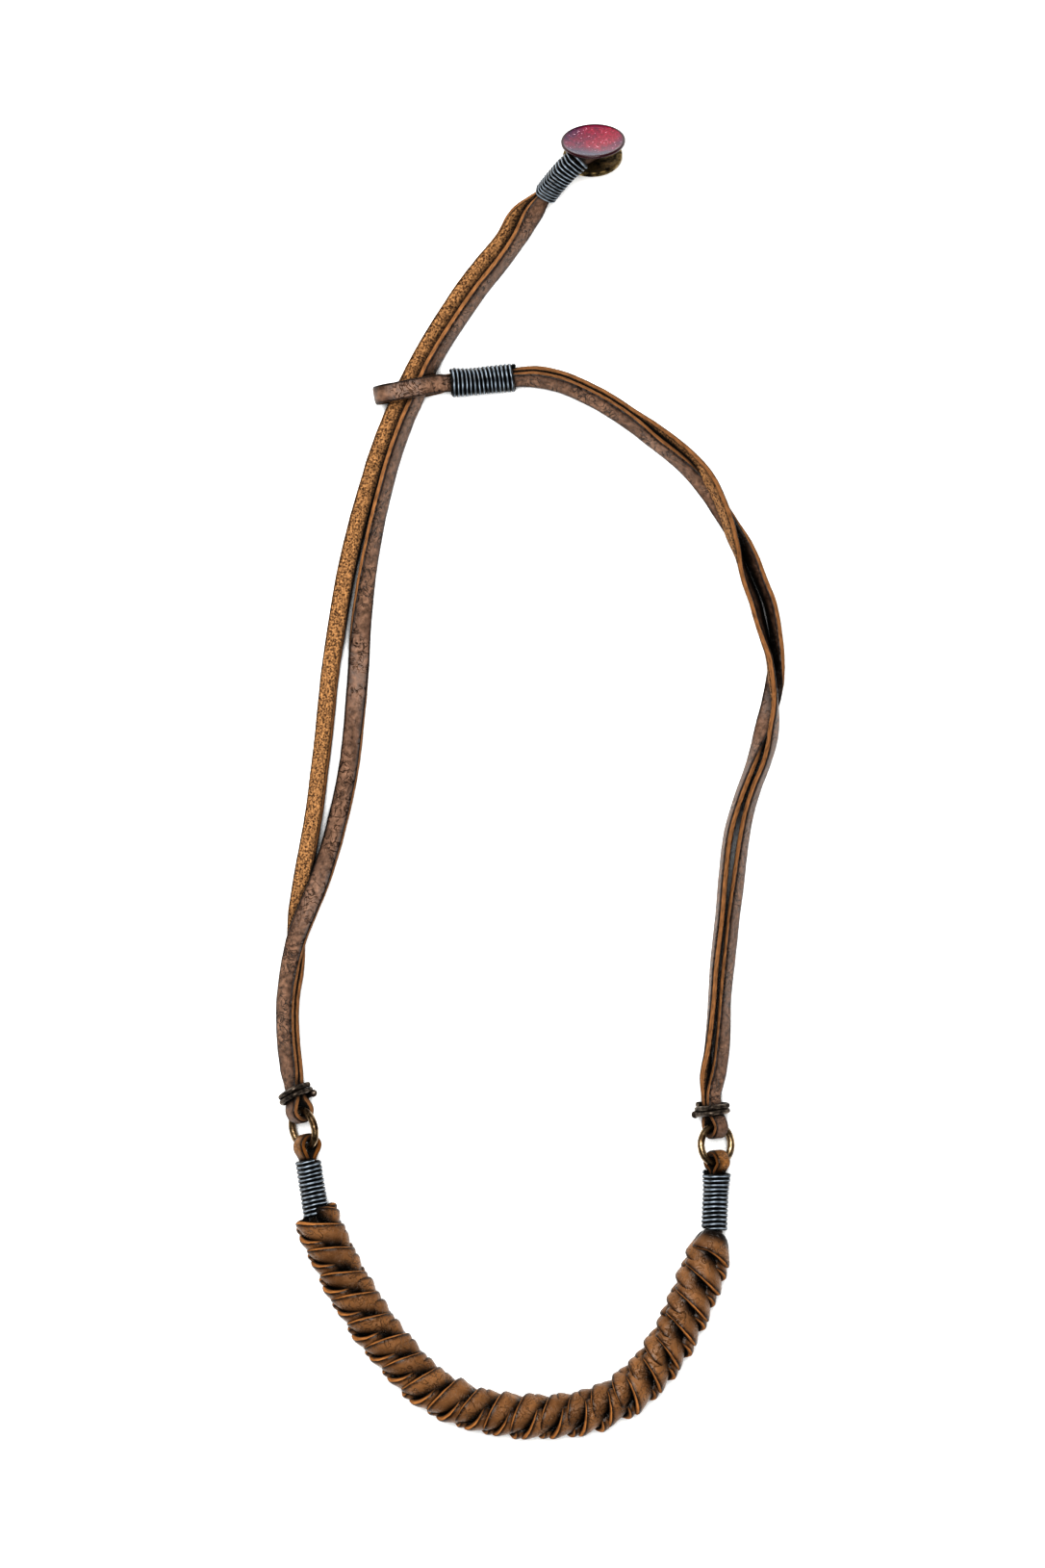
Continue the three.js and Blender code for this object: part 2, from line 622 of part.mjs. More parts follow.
addRing('left_ring', leftRing);
addRing('right_ring', rightRing);

add('button_whipping', whipping(buttonBinding, 14), waxedThread);
add('loop_whipping', whipping(loopBinding, 17), waxedThread);
add('left_whipping', whipping(leftCoreBinding, 14), waxedThread);
add('right_whipping', whipping(rightCoreBinding, 13, 0.2), waxedThread);

const leftTie = wireTie(leftTieRows[1], leftRing.along.clone().negate(), -0.2, 7);
const rightTie = wireTie(rightTieRows[1], rightRing.along.clone().negate(), 0, 1);
add('left_wire_tie', loft(leftTie, roundSection(6), false), darkWire);
add('right_wire_tie', loft(rightTie, roundSection(6), false), darkWire);

addTurned('button_base', baseProfile(), 32, buttonBase.foot, buttonBase.up, agedBrass);
addTurned('button_cap', capProfile(), 32, buttonCap.rim, buttonCap.up, redEnamel);

// The origin is on the table, under the middle of the whole.
const box = new THREE.Box3().setFromObject(necklace, true);
const middle = box.getCenter(new THREE.Vector3());
necklace.position.set(-middle.x, -middle.y, -box.min.z);

export default necklace;
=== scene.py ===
# %% [markdown]
# # A braided leather necklace
#
# Two flat laces, each joined into an endless band, are the straps. A braid of two
# more laces over a doubled core is the front. Brass rings, thread whippings and wire
# ties hold the bends, and a button with an enamelled cap goes through a loop to
# close it. The necklace lies flat on a table and is drawn in millimetres, then put
# into the frame, which is in metres.

# %% Open the frame
import math

import bmesh
import bpy
from mathutils import Matrix, Vector


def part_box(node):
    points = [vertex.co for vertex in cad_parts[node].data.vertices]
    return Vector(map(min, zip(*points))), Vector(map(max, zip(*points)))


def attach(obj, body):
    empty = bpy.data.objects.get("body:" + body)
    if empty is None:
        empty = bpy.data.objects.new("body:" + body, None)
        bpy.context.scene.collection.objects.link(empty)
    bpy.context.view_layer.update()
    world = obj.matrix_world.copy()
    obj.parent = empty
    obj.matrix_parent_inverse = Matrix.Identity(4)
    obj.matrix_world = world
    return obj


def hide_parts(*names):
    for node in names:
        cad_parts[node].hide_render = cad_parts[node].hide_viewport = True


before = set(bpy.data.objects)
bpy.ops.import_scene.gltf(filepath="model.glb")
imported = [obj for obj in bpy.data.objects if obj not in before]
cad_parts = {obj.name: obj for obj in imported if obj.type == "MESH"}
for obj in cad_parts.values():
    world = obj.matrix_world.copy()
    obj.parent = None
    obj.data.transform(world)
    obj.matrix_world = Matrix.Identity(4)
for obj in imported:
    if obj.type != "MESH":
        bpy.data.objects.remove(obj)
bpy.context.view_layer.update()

MM = 0.001
UP = Vector((0, 0, 1))

# %% [markdown]
# The drawing's origin is not the frame's. The left ring tells how far apart they are:
# its middle is known in the drawing, and the frame holds the same ring as a CAD node.
# Every piece goes through this one shift, so nothing is fitted by eye.

# %% From the drawing to the frame
LEFT_RING_CENTRE = Vector((-36.65, -55.8, 3.06))
ring_low, ring_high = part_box("left_ring")
SHIFT = (ring_low + ring_high) / 2 / MM - LEFT_RING_CENTRE


def to_frame(point):
    return (point + SHIFT) * MM


print("shift in mm:", [round(value, 4) for value in SHIFT])

# %% [markdown]
# The camera looks straight down, as one does at a piece of jewellery on a table. It
# stands far off with a long lens, so that the necklace is seen without the
# stretching that a near camera gives. The long side of the picture is the height,
# and the lens follows from the height of table that it has to show.

# %% Camera
VIEW_CENTRE = Vector((-1.17, 0.0, 0.0))
VIEW_HEIGHT = 254.5
CAMERA_HEIGHT = 1500.0
SENSOR = 36.0

camera_data = bpy.data.cameras.new("camera")
camera_data.sensor_width = SENSOR
camera_data.lens = SENSOR * CAMERA_HEIGHT / VIEW_HEIGHT
camera_data.clip_end = 10.0
camera = bpy.data.objects.new("camera", camera_data)
camera.location = to_frame(VIEW_CENTRE + UP * CAMERA_HEIGHT)
bpy.context.scene.collection.objects.link(camera)
bpy.context.scene.camera = camera
print("lens in mm:", round(camera_data.lens, 1))

# %% [markdown]
# Leather and brass want soft light. Two very large lamps hang almost overhead, the
# stronger one a little to the upper left, so the shadows on the table are too soft to
# see. A faint sky lifts the rest. The high contrast look deepens the gaps between
# laces, where little light gets in.

# %% Light
LAMPS = {
    "main_lamp": {"place": (-140, 230, 1000), "size": 700, "watts": 15.5},
    "fill_lamp": {"place": (160, -120, 1300), "size": 900, "watts": 9.5},
}
SKY_STRENGTH = 0.16


def light(name, place, size, watts):
    lamp = bpy.data.lights.new(name, "AREA")
    lamp.energy = watts
    lamp.size = size * MM
    holder = bpy.data.objects.new(name, lamp)
    holder.location = Vector(place) * MM
    holder.rotation_euler = (-Vector(place)).to_track_quat("-Z", "Y").to_euler()
    bpy.context.scene.collection.objects.link(holder)


for name, setting in LAMPS.items():
    light(name, **setting)
print("lamps:", list(LAMPS))

world = bpy.data.worlds.new("sky")
world.use_nodes = True
sky = world.node_tree.nodes["Background"]
sky.inputs["Color"].default_value = (1.0, 1.0, 1.0, 1.0)
sky.inputs["Strength"].default_value = SKY_STRENGTH
bpy.context.scene.world = world
bpy.context.scene.view_settings.view_transform = "Standard"
bpy.context.scene.view_settings.look = "High Contrast"

# %% [markdown]
# Every material and every Geometry Nodes tree is built by the same small function. It
# adds one node, sets its options, and fills or links its sockets. A list fills the
# sockets from the top, in the order in which Blender's editor shows them, and a dict
# fills them by name. A whole node given for a socket means that node's first output.

# %% One function that adds a node
MATH, VECTOR = "ShaderNodeMath", "ShaderNodeVectorMath"
MIX, RANGE, NOISE = "ShaderNodeMix", "ShaderNodeMapRange", "ShaderNodeTexNoise"


def shown(sockets):
    """A Mix or Math node hides the sockets that its present setting doesn't use."""
    return [socket for socket in sockets if socket.enabled]


def add(tree, kind, sockets=(), operation=None, **settings):
    node = tree.nodes.new(kind)
    if operation:
        node.operation = operation
    for name, value in settings.items():
        setattr(node, name, value)
    by_name = isinstance(sockets, dict)
    pairs = [(node.inputs[key], value) for key, value in sockets.items()] if by_name else []
    for socket, value in pairs or zip(shown(node.inputs), sockets):
        if isinstance(value, bpy.types.Node):
            value = shown(value.outputs)[0]
        if isinstance(value, bpy.types.NodeSocket):
            tree.links.new(value, socket)
        else:
            socket.default_value = value
    return node


def colour(hex_code):
    """An sRGB hex colour as the linear values that Blender's sockets take."""
    parts = [int(hex_code[i:i + 2], 16) / 255 for i in (1, 3, 5)]
    linear = [p / 12.92 if p <= 0.04045 else ((p + 0.055) / 1.055) ** 2.4 for p in parts]
    return (*linear, 1.0)


print("mid grey is", [round(value, 3) for value in colour("#808080")])

# %% [markdown]
# ## Materials
#
# A lace is a strip cut from vegetable-tanned hide. It has three kinds of surface: the
# grain side, dyed brown and creased where it bends; the flesh side, lighter and
# fibrous; and the cut edges, orange, where the dye has not gone in. Each lace carries
# an attribute that says how far along and across it a point is, and which side it
# faces, so one material can tell the three apart. The middle of a lace is painted
# lighter than its sides, as a highlight on its rounded face, and shade is painted where
# laces press together. A picture of leather would be quicker, but patterns made of
# nodes have no seams and stay sharp.

# %% Starting and finishing a material


def start_material(name, specular=None):
    material = bpy.data.materials.new(name)
    material.use_nodes = True
    shader = material.node_tree.nodes["Principled BSDF"]
    if specular is not None:
        shader.inputs["Specular IOR Level"].default_value = specular
    return material, material.node_tree, shader


def dress(tree, shader, tint, dull, height, strength, depth):
    """Links the colour, the roughness and a bump of the given depth in mm."""
    bump = add(tree, "ShaderNodeBump", {"Strength": strength, "Distance": depth * MM,
                                        "Height": height})
    for node, name in ((tint, "Base Color"), (dull, "Roughness"), (bump, "Normal")):
        tree.links.new(shown(node.outputs)[0], shader.inputs[name])


print("a material starts with Blender's Principled shader")

# %% Painted shade in hollows


def hollow_shade(tree, reach, low, high):
    """1 where other surfaces stand close all round, 0 in the open: there shade is painted into the
    colour.
    """
    open_sky = add(tree, "ShaderNodeAmbientOcclusion", {"Distance": reach * MM}, samples=8)
    return add(tree, RANGE, [open_sky.outputs["AO"], high, low], interpolation_type="SMOOTHSTEP")


print("hollows: 1 in a closed gap, 0 in the open")

# %% [markdown]
# First the patterns that all leathers share, each at its real size: slow patches of
# the dye, small mottles, loops of wrinkles that show only in some patches, fibres
# that run along the lace, and the pits of the flesh side.

# %% The patterns in leather
PATCH = 5.0        # mm, slow changes of the dye
MOTTLE = 0.9       # mm, small changes of the dye
WRINKLE = 1.7      # mm, the loops of the wrinkles
FIBRE = (1.4, 0.3)   # mm, length and width of a fibre
SPECK = 0.32       # mm, pits between the bumps of the flesh side
HALF_WIDTH = 1.5   # mm
CREASE = 0.035     # how far from the noise's middle value a wrinkle is still dark
NOISE_SPAN = (0.3, 0.7)     # nearly all of Blender's noise lies between these


def leather_patterns(tree, place, lace):
    patch = add(tree, NOISE, {"Vector": place, "Scale": 1 / (PATCH * MM), "Detail": 3.0})
    mottle = add(tree, NOISE, {"Vector": place, "Scale": 1 / (MOTTLE * MM), "Detail": 4.0,
                               "Roughness": 0.6})
    loops = add(tree, NOISE, {"Vector": place, "Scale": 1 / (WRINKLE * MM), "Detail": 2.0,
                              "Distortion": 1.2})
    loops = add(tree, MATH, [loops, 0.5], "SUBTRACT")
    loops = add(tree, MATH, [loops], "ABSOLUTE")
    creased = add(tree, RANGE, [loops, 0.0, CREASE, 1.0, 0.0])
    broken = add(tree, RANGE, [patch, 0.4, 0.55])
    creased = add(tree, MATH, [creased, broken], "MULTIPLY")

    fibre_scale = (1 / (FIBRE[0] * MM), HALF_WIDTH / FIBRE[1], 2.0)
    along = add(tree, VECTOR, [lace, fibre_scale], "MULTIPLY")
    fibre = add(tree, NOISE, {"Vector": along, "Scale": 1.0, "Detail": 3.0})
    specks = add(tree, NOISE, {"Vector": place, "Scale": 1 / (SPECK * MM), "Detail": 2.0})
    pits = add(tree, RANGE, [specks, 0.66, 0.4])
    specks = add(tree, RANGE, [specks, 0.44, 0.66])
    return patch, mottle, creased, fibre, specks, pits


print("patches and mottles in mm:", PATCH, MOTTLE)

# %% The grain side and the flesh side
SHEEN_SHARE = 0.6         # share of the colour that follows the painted highlight of the middle, against chance in the dye
FIBRE_SHADES = (0.55, 1.4)     # times the colour, in the gaps and on the fibres


def grain_side(tree, look, across, patch, mottle, creased):
    """Dyed and smooth, painted lighter along the middle and darker at the sides as light falls on
    it, and nearly black in each crease.
    """
    # Painted highlight: the middle of the lace is made lighter and its sides darker, as light
    # falls on its rounded face; chance in the dye sets the rest.
    wear_and_sheen = add(tree, MATH, [across, across], "MULTIPLY")
    wear_and_sheen = add(tree, RANGE, [wear_and_sheen, 0.0, 1.0, 0.8, -0.1], clamp=True)
    dye_and_sheen = add(tree, RANGE, [patch, 0.35, 0.65])
    dye_and_sheen = add(tree, MIX, [SHEEN_SHARE, dye_and_sheen, wear_and_sheen])
    top = add(tree, MIX, [dye_and_sheen, colour(look["grain"]), colour(look["paler_tone"])], data_type="RGBA")
    contrast = look["contrast"]
    shade = add(tree, RANGE, [mottle, *NOISE_SPAN, 1 - contrast, 1 + contrast])
    top = add(tree, VECTOR, [top, shade], "SCALE")
    crease_share = add(tree, MATH, [creased, look["creasing"]], "MULTIPLY")
    return add(tree, MIX, [crease_share, top, colour(look["crease"])], data_type="RGBA")


def flesh_side(tree, look, fibre, specks):
    """Undyed fibres with dark specks. The cut edge has the fibres and no specks."""
    rough = add(tree, RANGE, [fibre, *NOISE_SPAN, *FIBRE_SHADES])
    under = add(tree, MIX, [specks, colour(look["flesh"]), colour(look["speck"])],
                data_type="RGBA")
    under = add(tree, VECTOR, [under, rough], "SCALE")
    rim = add(tree, VECTOR, [colour(look["edge"])[:3], rough], "SCALE")
    return under, rim


# The share printed here is that of the painted highlight along the middle of a lace.
print("share of wear in the grain side's colour:", SHEEN_SHARE)

# %% A whole lace
RELIEF = 0.2       # mm, depth of the bump
HOLLOW = 2.4       # mm, how near another surface has to be for painted shade to fall
GRAIN_FROM, FLESH_FROM = (0.45, 0.62), (-0.6, -0.8)     # of the half thickness
CORNER = (0.72, 0.9)     # of the half width: where the painted shade at a lace's edges begins and is full
# Colours of painted shade: at the bottom of the braid's gaps, and in hollows.
GAP_SHADE_COLOUR, HOLLOW_SHADE_COLOUR = "#120c08", "#0c0805"


def painted_shade(tree, skin_colour, across, flat, dark_side):
    """Painted shade: dark at the corners, on the side that the next lace covers, at the bottom of
    the braid's gaps and in hollows.
    """
    overlapped = add(tree, RANGE, [across, 0.2, 1.0, 1.0, dark_side])
    corner = add(tree, MATH, [across], "ABSOLUTE")
    corner = add(tree, RANGE, [corner, *CORNER, 1.0, 0.25])
    corner = add(tree, MIX, [flat, 1.0, corner])
    shade = add(tree, MATH, [overlapped, corner], "MULTIPLY")
    skin_colour = add(tree, VECTOR, [skin_colour, shade], "SCALE")
    gap_shade = add(tree, "ShaderNodeAttribute", attribute_name="gap_shade").outputs["Fac"]
    skin_colour = add(tree, MIX, [gap_shade, skin_colour, colour(GAP_SHADE_COLOUR)], data_type="RGBA")
    shade_in_hollows = hollow_shade(tree, HOLLOW, low=0.42, high=0.98)
    return add(tree, MIX, [shade_in_hollows, skin_colour, colour(HOLLOW_SHADE_COLOUR)], data_type="RGBA")


def leather(name, look):
    """Dull, slightly waxy, and darker in every crease: the eye reads age and handling."""
    material, tree, shader = start_material(name, specular=0.18)
    place = add(tree, "ShaderNodeTexCoord").outputs["Object"]
    lace = add(tree, "ShaderNodeAttribute", attribute_name="lace").outputs["Vector"]
    lace_parts = add(tree, "ShaderNodeSeparateXYZ", [lace])
    across, side = lace_parts.outputs["Y"], lace_parts.outputs["Z"]
    patch, mottle, creased, fibre, specks, pits = leather_patterns(tree, place, lace)
    top = grain_side(tree, look, across, patch, mottle, creased)
    under, rim = flesh_side(tree, look, fibre, specks)

    wander = add(tree, MATH, [mottle, 0.3, -0.15], "MULTIPLY_ADD")
    turned = add(tree, MATH, [side, wander], "ADD")
    is_grain = add(tree, RANGE, [turned, *GRAIN_FROM])
    is_flesh = add(tree, RANGE, [turned, *FLESH_FROM])
    rim = add(tree, MIX, [is_flesh, rim, under], data_type="RGBA")
    skin_colour = add(tree, MIX, [is_grain, rim, top], data_type="RGBA")
    flat = add(tree, MATH, [is_grain, is_flesh], "MAXIMUM")
    skin_colour = painted_shade(tree, skin_colour, across, flat, look["dark_side"])

    roughness = look["roughness"]
    dull = add(tree, RANGE, [mottle, *NOISE_SPAN, roughness - 0.08, roughness + 0.14])
    dull = add(tree, MIX, [is_grain, 0.85, dull])
    pores = add(tree, MATH, [mottle, creased], "SUBTRACT")
    fleshy = add(tree, MIX, [is_flesh, fibre, pits])
    height = add(tree, MIX, [is_grain, fleshy, pores])
    dress(tree, shader, skin_colour, dull, height, strength=0.9, depth=RELIEF)
    return material


print("relief of the grain in mm:", RELIEF)

# %% [markdown]
# The necklace has three leathers. The straps are creased and greyed by wear. The
# braid is warmer and glossier, and shade is painted on each band towards the side
# that the next one covers. The core, which is only seen at the rings, is lighter and plainer.

# %% Three vegetable-tanned leathers
strap_leather = leather("vegetable_tanned_strap", {
    "grain": "#3d2d25", "paler_tone": "#745b4a", "crease": "#0f0906", "flesh": "#96704a",
    "speck": "#3b2818", "edge": "#7a5636",
    "roughness": 0.4, "creasing": 0.9, "contrast": 0.6, "dark_side": 0.8})
braid_leather = leather("vegetable_tanned_braid", {
    "grain": "#3a2515", "paler_tone": "#876240", "crease": "#160c06", "flesh": "#794f2a",
    "speck": "#281809", "edge": "#96673a",
    "roughness": 0.28, "creasing": 0.15, "contrast": 0.15, "dark_side": 0.1})
core_leather = leather("vegetable_tanned_core", {
    "grain": "#5e4022", "paler_tone": "#7d5832", "crease": "#1c1108", "flesh": "#84572a",
    "speck": "#33200e", "edge": "#96622a",
    "roughness": 0.35, "creasing": 0.4, "contrast": 0.35, "dark_side": 0.4})
print("leathers:", strap_leather.name, braid_leather.name, core_leather.name)

# %% [markdown]
# The whippings are waxed thread, two plies twisted together and dyed almost black
# with a cold blue tone. The wax gives each turn a soft shine, and the twist shows as
# slanting ridges. The twist is worked out from the way along the thread and the way
# round it. The attribute "crown" says how near a point is to the outside of its turn:
# a highlight is painted on the crowns, weaker where the wax has rubbed off, and
# painted shade makes the valleys between turns almost black.

# %% Waxed thread
TWIST = 0.9        # mm, one full twist of the plies
WAX_PATCH = 1.1    # mm, patches where the wax has rubbed off
PLY_DEPTH = 0.05   # mm
THREAD_HOLLOW = 0.8     # mm
CROWN_FROM = 0.82  # of the thread's radius: where the painted highlight begins
# Colours of painted shade in the valleys, of the painted highlight on the crowns, and of painted
# shade where turns stand close.
VALLEY_SHADE, CROWN_HIGHLIGHT, THREAD_SHADE_COLOUR = "#030405", "#a3b0bc", "#040506"

waxed_thread, tree, shader = start_material("waxed_twine", specular=0.35)
place = add(tree, "ShaderNodeTexCoord").outputs["Object"]
thread = add(tree, "ShaderNodeAttribute", attribute_name="lace").outputs["Vector"]
thread = add(tree, "ShaderNodeSeparateXYZ", [thread])
way_round = add(tree, MATH, [thread.outputs["Y"], thread.outputs["Z"]], "ARCTAN2")
way_along = [thread.outputs["X"], math.tau / (TWIST * MM), way_round]
way_along = add(tree, MATH, way_along, "MULTIPLY_ADD")
plies = add(tree, MATH, [way_along], "SINE")
wax = add(tree, NOISE, {"Vector": place, "Scale": 1 / (WAX_PATCH * MM), "Detail": 3.0})
crown = add(tree, "ShaderNodeAttribute", attribute_name="crown").outputs["Fac"]
crown = add(tree, RANGE, [crown, CROWN_FROM, 1.0], interpolation_type="SMOOTHSTEP")
wear_and_sheen = add(tree, RANGE, [wax, *NOISE_SPAN, 0.35, 1.0])
# Painted highlight on the crowns, weaker where the wax has rubbed off, over painted shade in the
# valleys.
crown_highlight_share = add(tree, MATH, [crown, wear_and_sheen], "MULTIPLY")
thread_colour = add(tree, MIX, [crown_highlight_share, colour(VALLEY_SHADE), colour(CROWN_HIGHLIGHT)], data_type="RGBA")
# Painted shade where turns stand close together.
shade_in_hollows = hollow_shade(tree, THREAD_HOLLOW, low=0.35, high=0.9)
thread_colour = add(tree, MIX, [shade_in_hollows, thread_colour, colour(THREAD_SHADE_COLOUR)], data_type="RGBA")
dull = add(tree, RANGE, [wax, *NOISE_SPAN, 0.3, 0.5])
dress(tree, shader, thread_colour, dull, plies, strength=0.25, depth=PLY_DEPTH)
print("thread twist in mm:", TWIST)

# %% [markdown]
# Rings, ties and the button's base are old brass. Brass that is handled keeps a
# bright skin where it rubs and goes olive brown in the hollows. One function makes
# all three, because they only differ in their two colours and in how rough the
# bright skin is.

# %% Aged brass and dark wire
TARNISH_PATCH = 1.4     # mm
GRIT = 0.3              # mm
GRIT_DEPTH = 0.05       # mm
PATCH_EDGE = 0.12       # how softly a patch ends


def old_metal(name, bright, tarnish, roughness):
    """Warm highlights over a dark, uneven skin: the eye reads old metal."""
    material, tree, shader = start_material(name)
    shader.inputs["Metallic"].default_value = 1.0
    place = add(tree, "ShaderNodeTexCoord").outputs["Object"]
    cloud = add(tree, NOISE, {"Vector": place, "Scale": 1 / (TARNISH_PATCH * MM),
                              "Detail": 5.0, "Roughness": 0.65})
    grit = add(tree, NOISE, {"Vector": place, "Scale": 1 / (GRIT * MM), "Detail": 2.0})
    aged = add(tree, RANGE, [cloud, 0.5 - PATCH_EDGE, 0.5 + PATCH_EDGE])
    mixed = add(tree, MIX, [aged, colour(tarnish), colour(bright)], data_type="RGBA")
    dull = add(tree, RANGE, [aged, 0.0, 1.0, roughness + 0.25, roughness])
    dress(tree, shader, mixed, dull, grit, strength=0.5, depth=GRIT_DEPTH)
    return material


ring_brass = old_metal("aged_brass_ring", bright="#978266", tarnish="#3a2d1f", roughness=0.22)
base_brass = old_metal("aged_brass_base", bright="#85734f", tarnish="#1f1a12", roughness=0.42)
dark_wire = old_metal("tarnished_wire", bright="#6f6459", tarnish="#2a2522", roughness=0.32)
print("metals:", ring_brass.name, base_brass.name, dark_wire.name)

# %% [markdown]
# The button's cap is enamelled: ground glass melted on to a brass dish. The glass is
# a clouded red, and a few light specks on it are painted glints. Towards the rim it is
# painted violet as shade, and on one side violet as a painted reflection. Noise makes
# the clouds, and two attributes of the cap, "way_out" and one for that side, push them
# towards the rim and that side. The glass is smooth, so it mirrors the lamps, and the
# bare rim round it is dark.

# %% Red enamel
BLOOM = 3.4         # mm, the clouds in the glass
GLASS_GRAIN = 0.35  # mm, the grains that it was melted from
VIOLET_SHARE = 0.26     # how much the painted shade at the rim and the painted reflection on one side add to the clouds
RIM_FROM = (0.9, 0.94)  # of the cap's radius
# The violet also serves the painted shade at the rim and the painted reflection on one side; the
# light specks are painted glints.
RED, VIOLET, GLINT_COLOUR, BARE_RIM = "#76102b", "#1c1034", "#c9a9b4", "#2a0f14"

red_enamel, tree, shader = start_material("glass_enamel", specular=0.3)
place = add(tree, "ShaderNodeTexCoord").outputs["Object"]
bloom = add(tree, NOISE, {"Vector": place, "Scale": 1 / (BLOOM * MM), "Detail": 5.0,
                          "Distortion": 0.4})
grains = add(tree, NOISE, {"Vector": place, "Scale": 1 / (GLASS_GRAIN * MM), "Detail": 2.0})
ring = add(tree, "ShaderNodeAttribute", attribute_name="way_out").outputs["Fac"]
reflected_side = add(tree, "ShaderNodeAttribute", attribute_name="reflected_side").outputs["Fac"]
# Pushed towards violet: painted shade at the rim, and a painted reflection on one side.
cloud = add(tree, MATH, [ring, VIOLET_SHARE, bloom], "MULTIPLY_ADD")
cloud = add(tree, MATH, [reflected_side, VIOLET_SHARE, cloud], "MULTIPLY_ADD")
cloud = add(tree, RANGE, [cloud, 0.52, 0.88])
glass = add(tree, MIX, [cloud, colour(RED), colour(VIOLET)], data_type="RGBA")
grain_shade = add(tree, RANGE, [grains, *NOISE_SPAN, 0.6, 1.35])
glass = add(tree, VECTOR, [glass, grain_shade], "SCALE")
# Painted glints: a few small light specks.
glint_share = add(tree, RANGE, [grains, 0.68, 0.72])
glass = add(tree, MIX, [glint_share, glass, colour(GLINT_COLOUR)], data_type="RGBA")
rim_side = add(tree, RANGE, [ring, *RIM_FROM])
glass = add(tree, MIX, [rim_side, glass, colour(BARE_RIM)], data_type="RGBA")
tree.links.new(glass.outputs[2], shader.inputs["Base Color"])
shader.inputs["Roughness"].default_value = 0.22
print("enamel:", red_enamel.name)

# %% [markdown]
# The floor is matt paper, nearly white. The light that makes it so would also fill the
# narrow slots between laces. On a real table they lie in shade, so that shade is
# painted on the paper, by the same test for hollows, wherever leather stands close on
# both sides.

# %% Floor
SLOT_REACH = 3.0     # mm, the height of a lace on edge
FLOOR_SIZE = 3000.0
PAPER, SLOT_SHADE = "#f4f4f3", "#0a0807"

paper, tree, shader = start_material("white_paper")
# Painted shade in the narrow slots between laces.
slot = hollow_shade(tree, SLOT_REACH, low=0.25, high=0.58)
paper_colour = add(tree, MIX, [slot, colour(PAPER), colour(SLOT_SHADE)], data_type="RGBA")
tree.links.new(paper_colour.outputs[2], shader.inputs["Base Color"])
shader.inputs["Roughness"].default_value = 0.9

floor_mesh = bpy.data.meshes.new("floor")
half = FLOOR_SIZE / 2 * MM
floor_mesh.from_pydata([(-half, -half, 0), (half, -half, 0), (half, half, 0), (-half, half, 0)],
                       [], [(0, 1, 2, 3)])
floor_mesh.materials.append(paper)
floor = bpy.data.objects.new("floor", floor_mesh)
bpy.context.scene.collection.objects.link(floor)
print("floor in m:", FLOOR_SIZE * MM)

# %% [markdown]
# ## Where the laces run
#
# A row of a table is a place on the route: x and y in millimetres, the angle of the
# lace's width from upright, and how far it lies above the table's own height for
# that angle. Rows run towards the ring. Where two laces are held together the third
# number is the height of the middle of the pair, and the fourth is the angle. These
# are the CAD's own numbers, so the leather lies where the frame says.

# %% Routes of the left strap
LEFT_UPPER = [
    (0.5, 92.2, 130, 1.8), (-1.7, 88.4, 146, 0.7), (-4.7, 84.2, 150, 0.1),
    (-7.9, 80.2, 150, 0), (-13.1, 72.6, 150, 0.1), (-15.9, 67.8, 150, 1.1),
    (-17.3, 64.8, 150, 1.6), (-18.7, 61.6, 150, 1.55), (-20.2, 58.2, 149, 1.0),
    (-22.0, 53.2, 148, 0.1), (-23.3, 48.6, 146, 0), (-24.8, 42.4, 143, 0),
    (-26.4, 33.8, 132, 0), (-27.4, 25.5, 114, 0), (-27.8, 18.5, 90, 0),
    (-28.5, 10.0, 67, 0), (-29.4, 2.3, 65, 0), (-30.7, -4.0, 65, 0),
    (-32.0, -9.2, 65, 0.2), (-33.1, -12.9, 66, 1.0), (-34.3, -16.4, 72, 1.75),
    (-36.0, -20.4, 75, 1.85), (-37.7, -24.8, 66, 1.7), (-38.8, -29.3, 56, 1.15),
    (-39.6, -35.4, 50, 1.05), (-39.5, -41.5, 50, 1.05), (-39.0, -46.2, 48, 1.15),
]
LEFT_LOWER = [
    (-1.9, 92.2, 112, 0.45), (-4.1, 88.4, 96, 0.2), (-7.6, 84.2, 90, 0.1),
    (-10.7, 80.2, 90, 0), (-15.6, 72.6, 90, 0.1), (-18.3, 67.8, 90, 1.1),
    (-19.8, 64.8, 90, 1.6), (-21.3, 61.6, 90, 1.55), (-22.8, 58.2, 90, 1.0),
    (-24.7, 53.2, 90, 0.1), (-26.1, 48.6, 90, 0), (-27.9, 42.4, 88, 0),
    (-29.9, 33.8, 84, 0), (-31.4, 24.8, 76, 0), (-32.4, 17.9, 70, 0),
    (-33.3, 9.0, 65, 0), (-34.1, 2.3, 65, 0), (-34.9, -4.0, 65, 0),
    (-35.8, -9.5, 66, 0), (-36.5, -13.2, 72, 0), (-37.1, -16.8, 80, 0),
    (-37.7, -20.8, 80, 0), (-37.9, -24.8, 66, 0), (-37.9, -29.3, 56, 0),
    (-38.7, -35.4, 50, 0), (-38.6, -41.5, 50, 0), (-38.1, -46.2, 48, 0),
]
print("rows in the left strap:", len(LEFT_UPPER) + len(LEFT_LOWER))

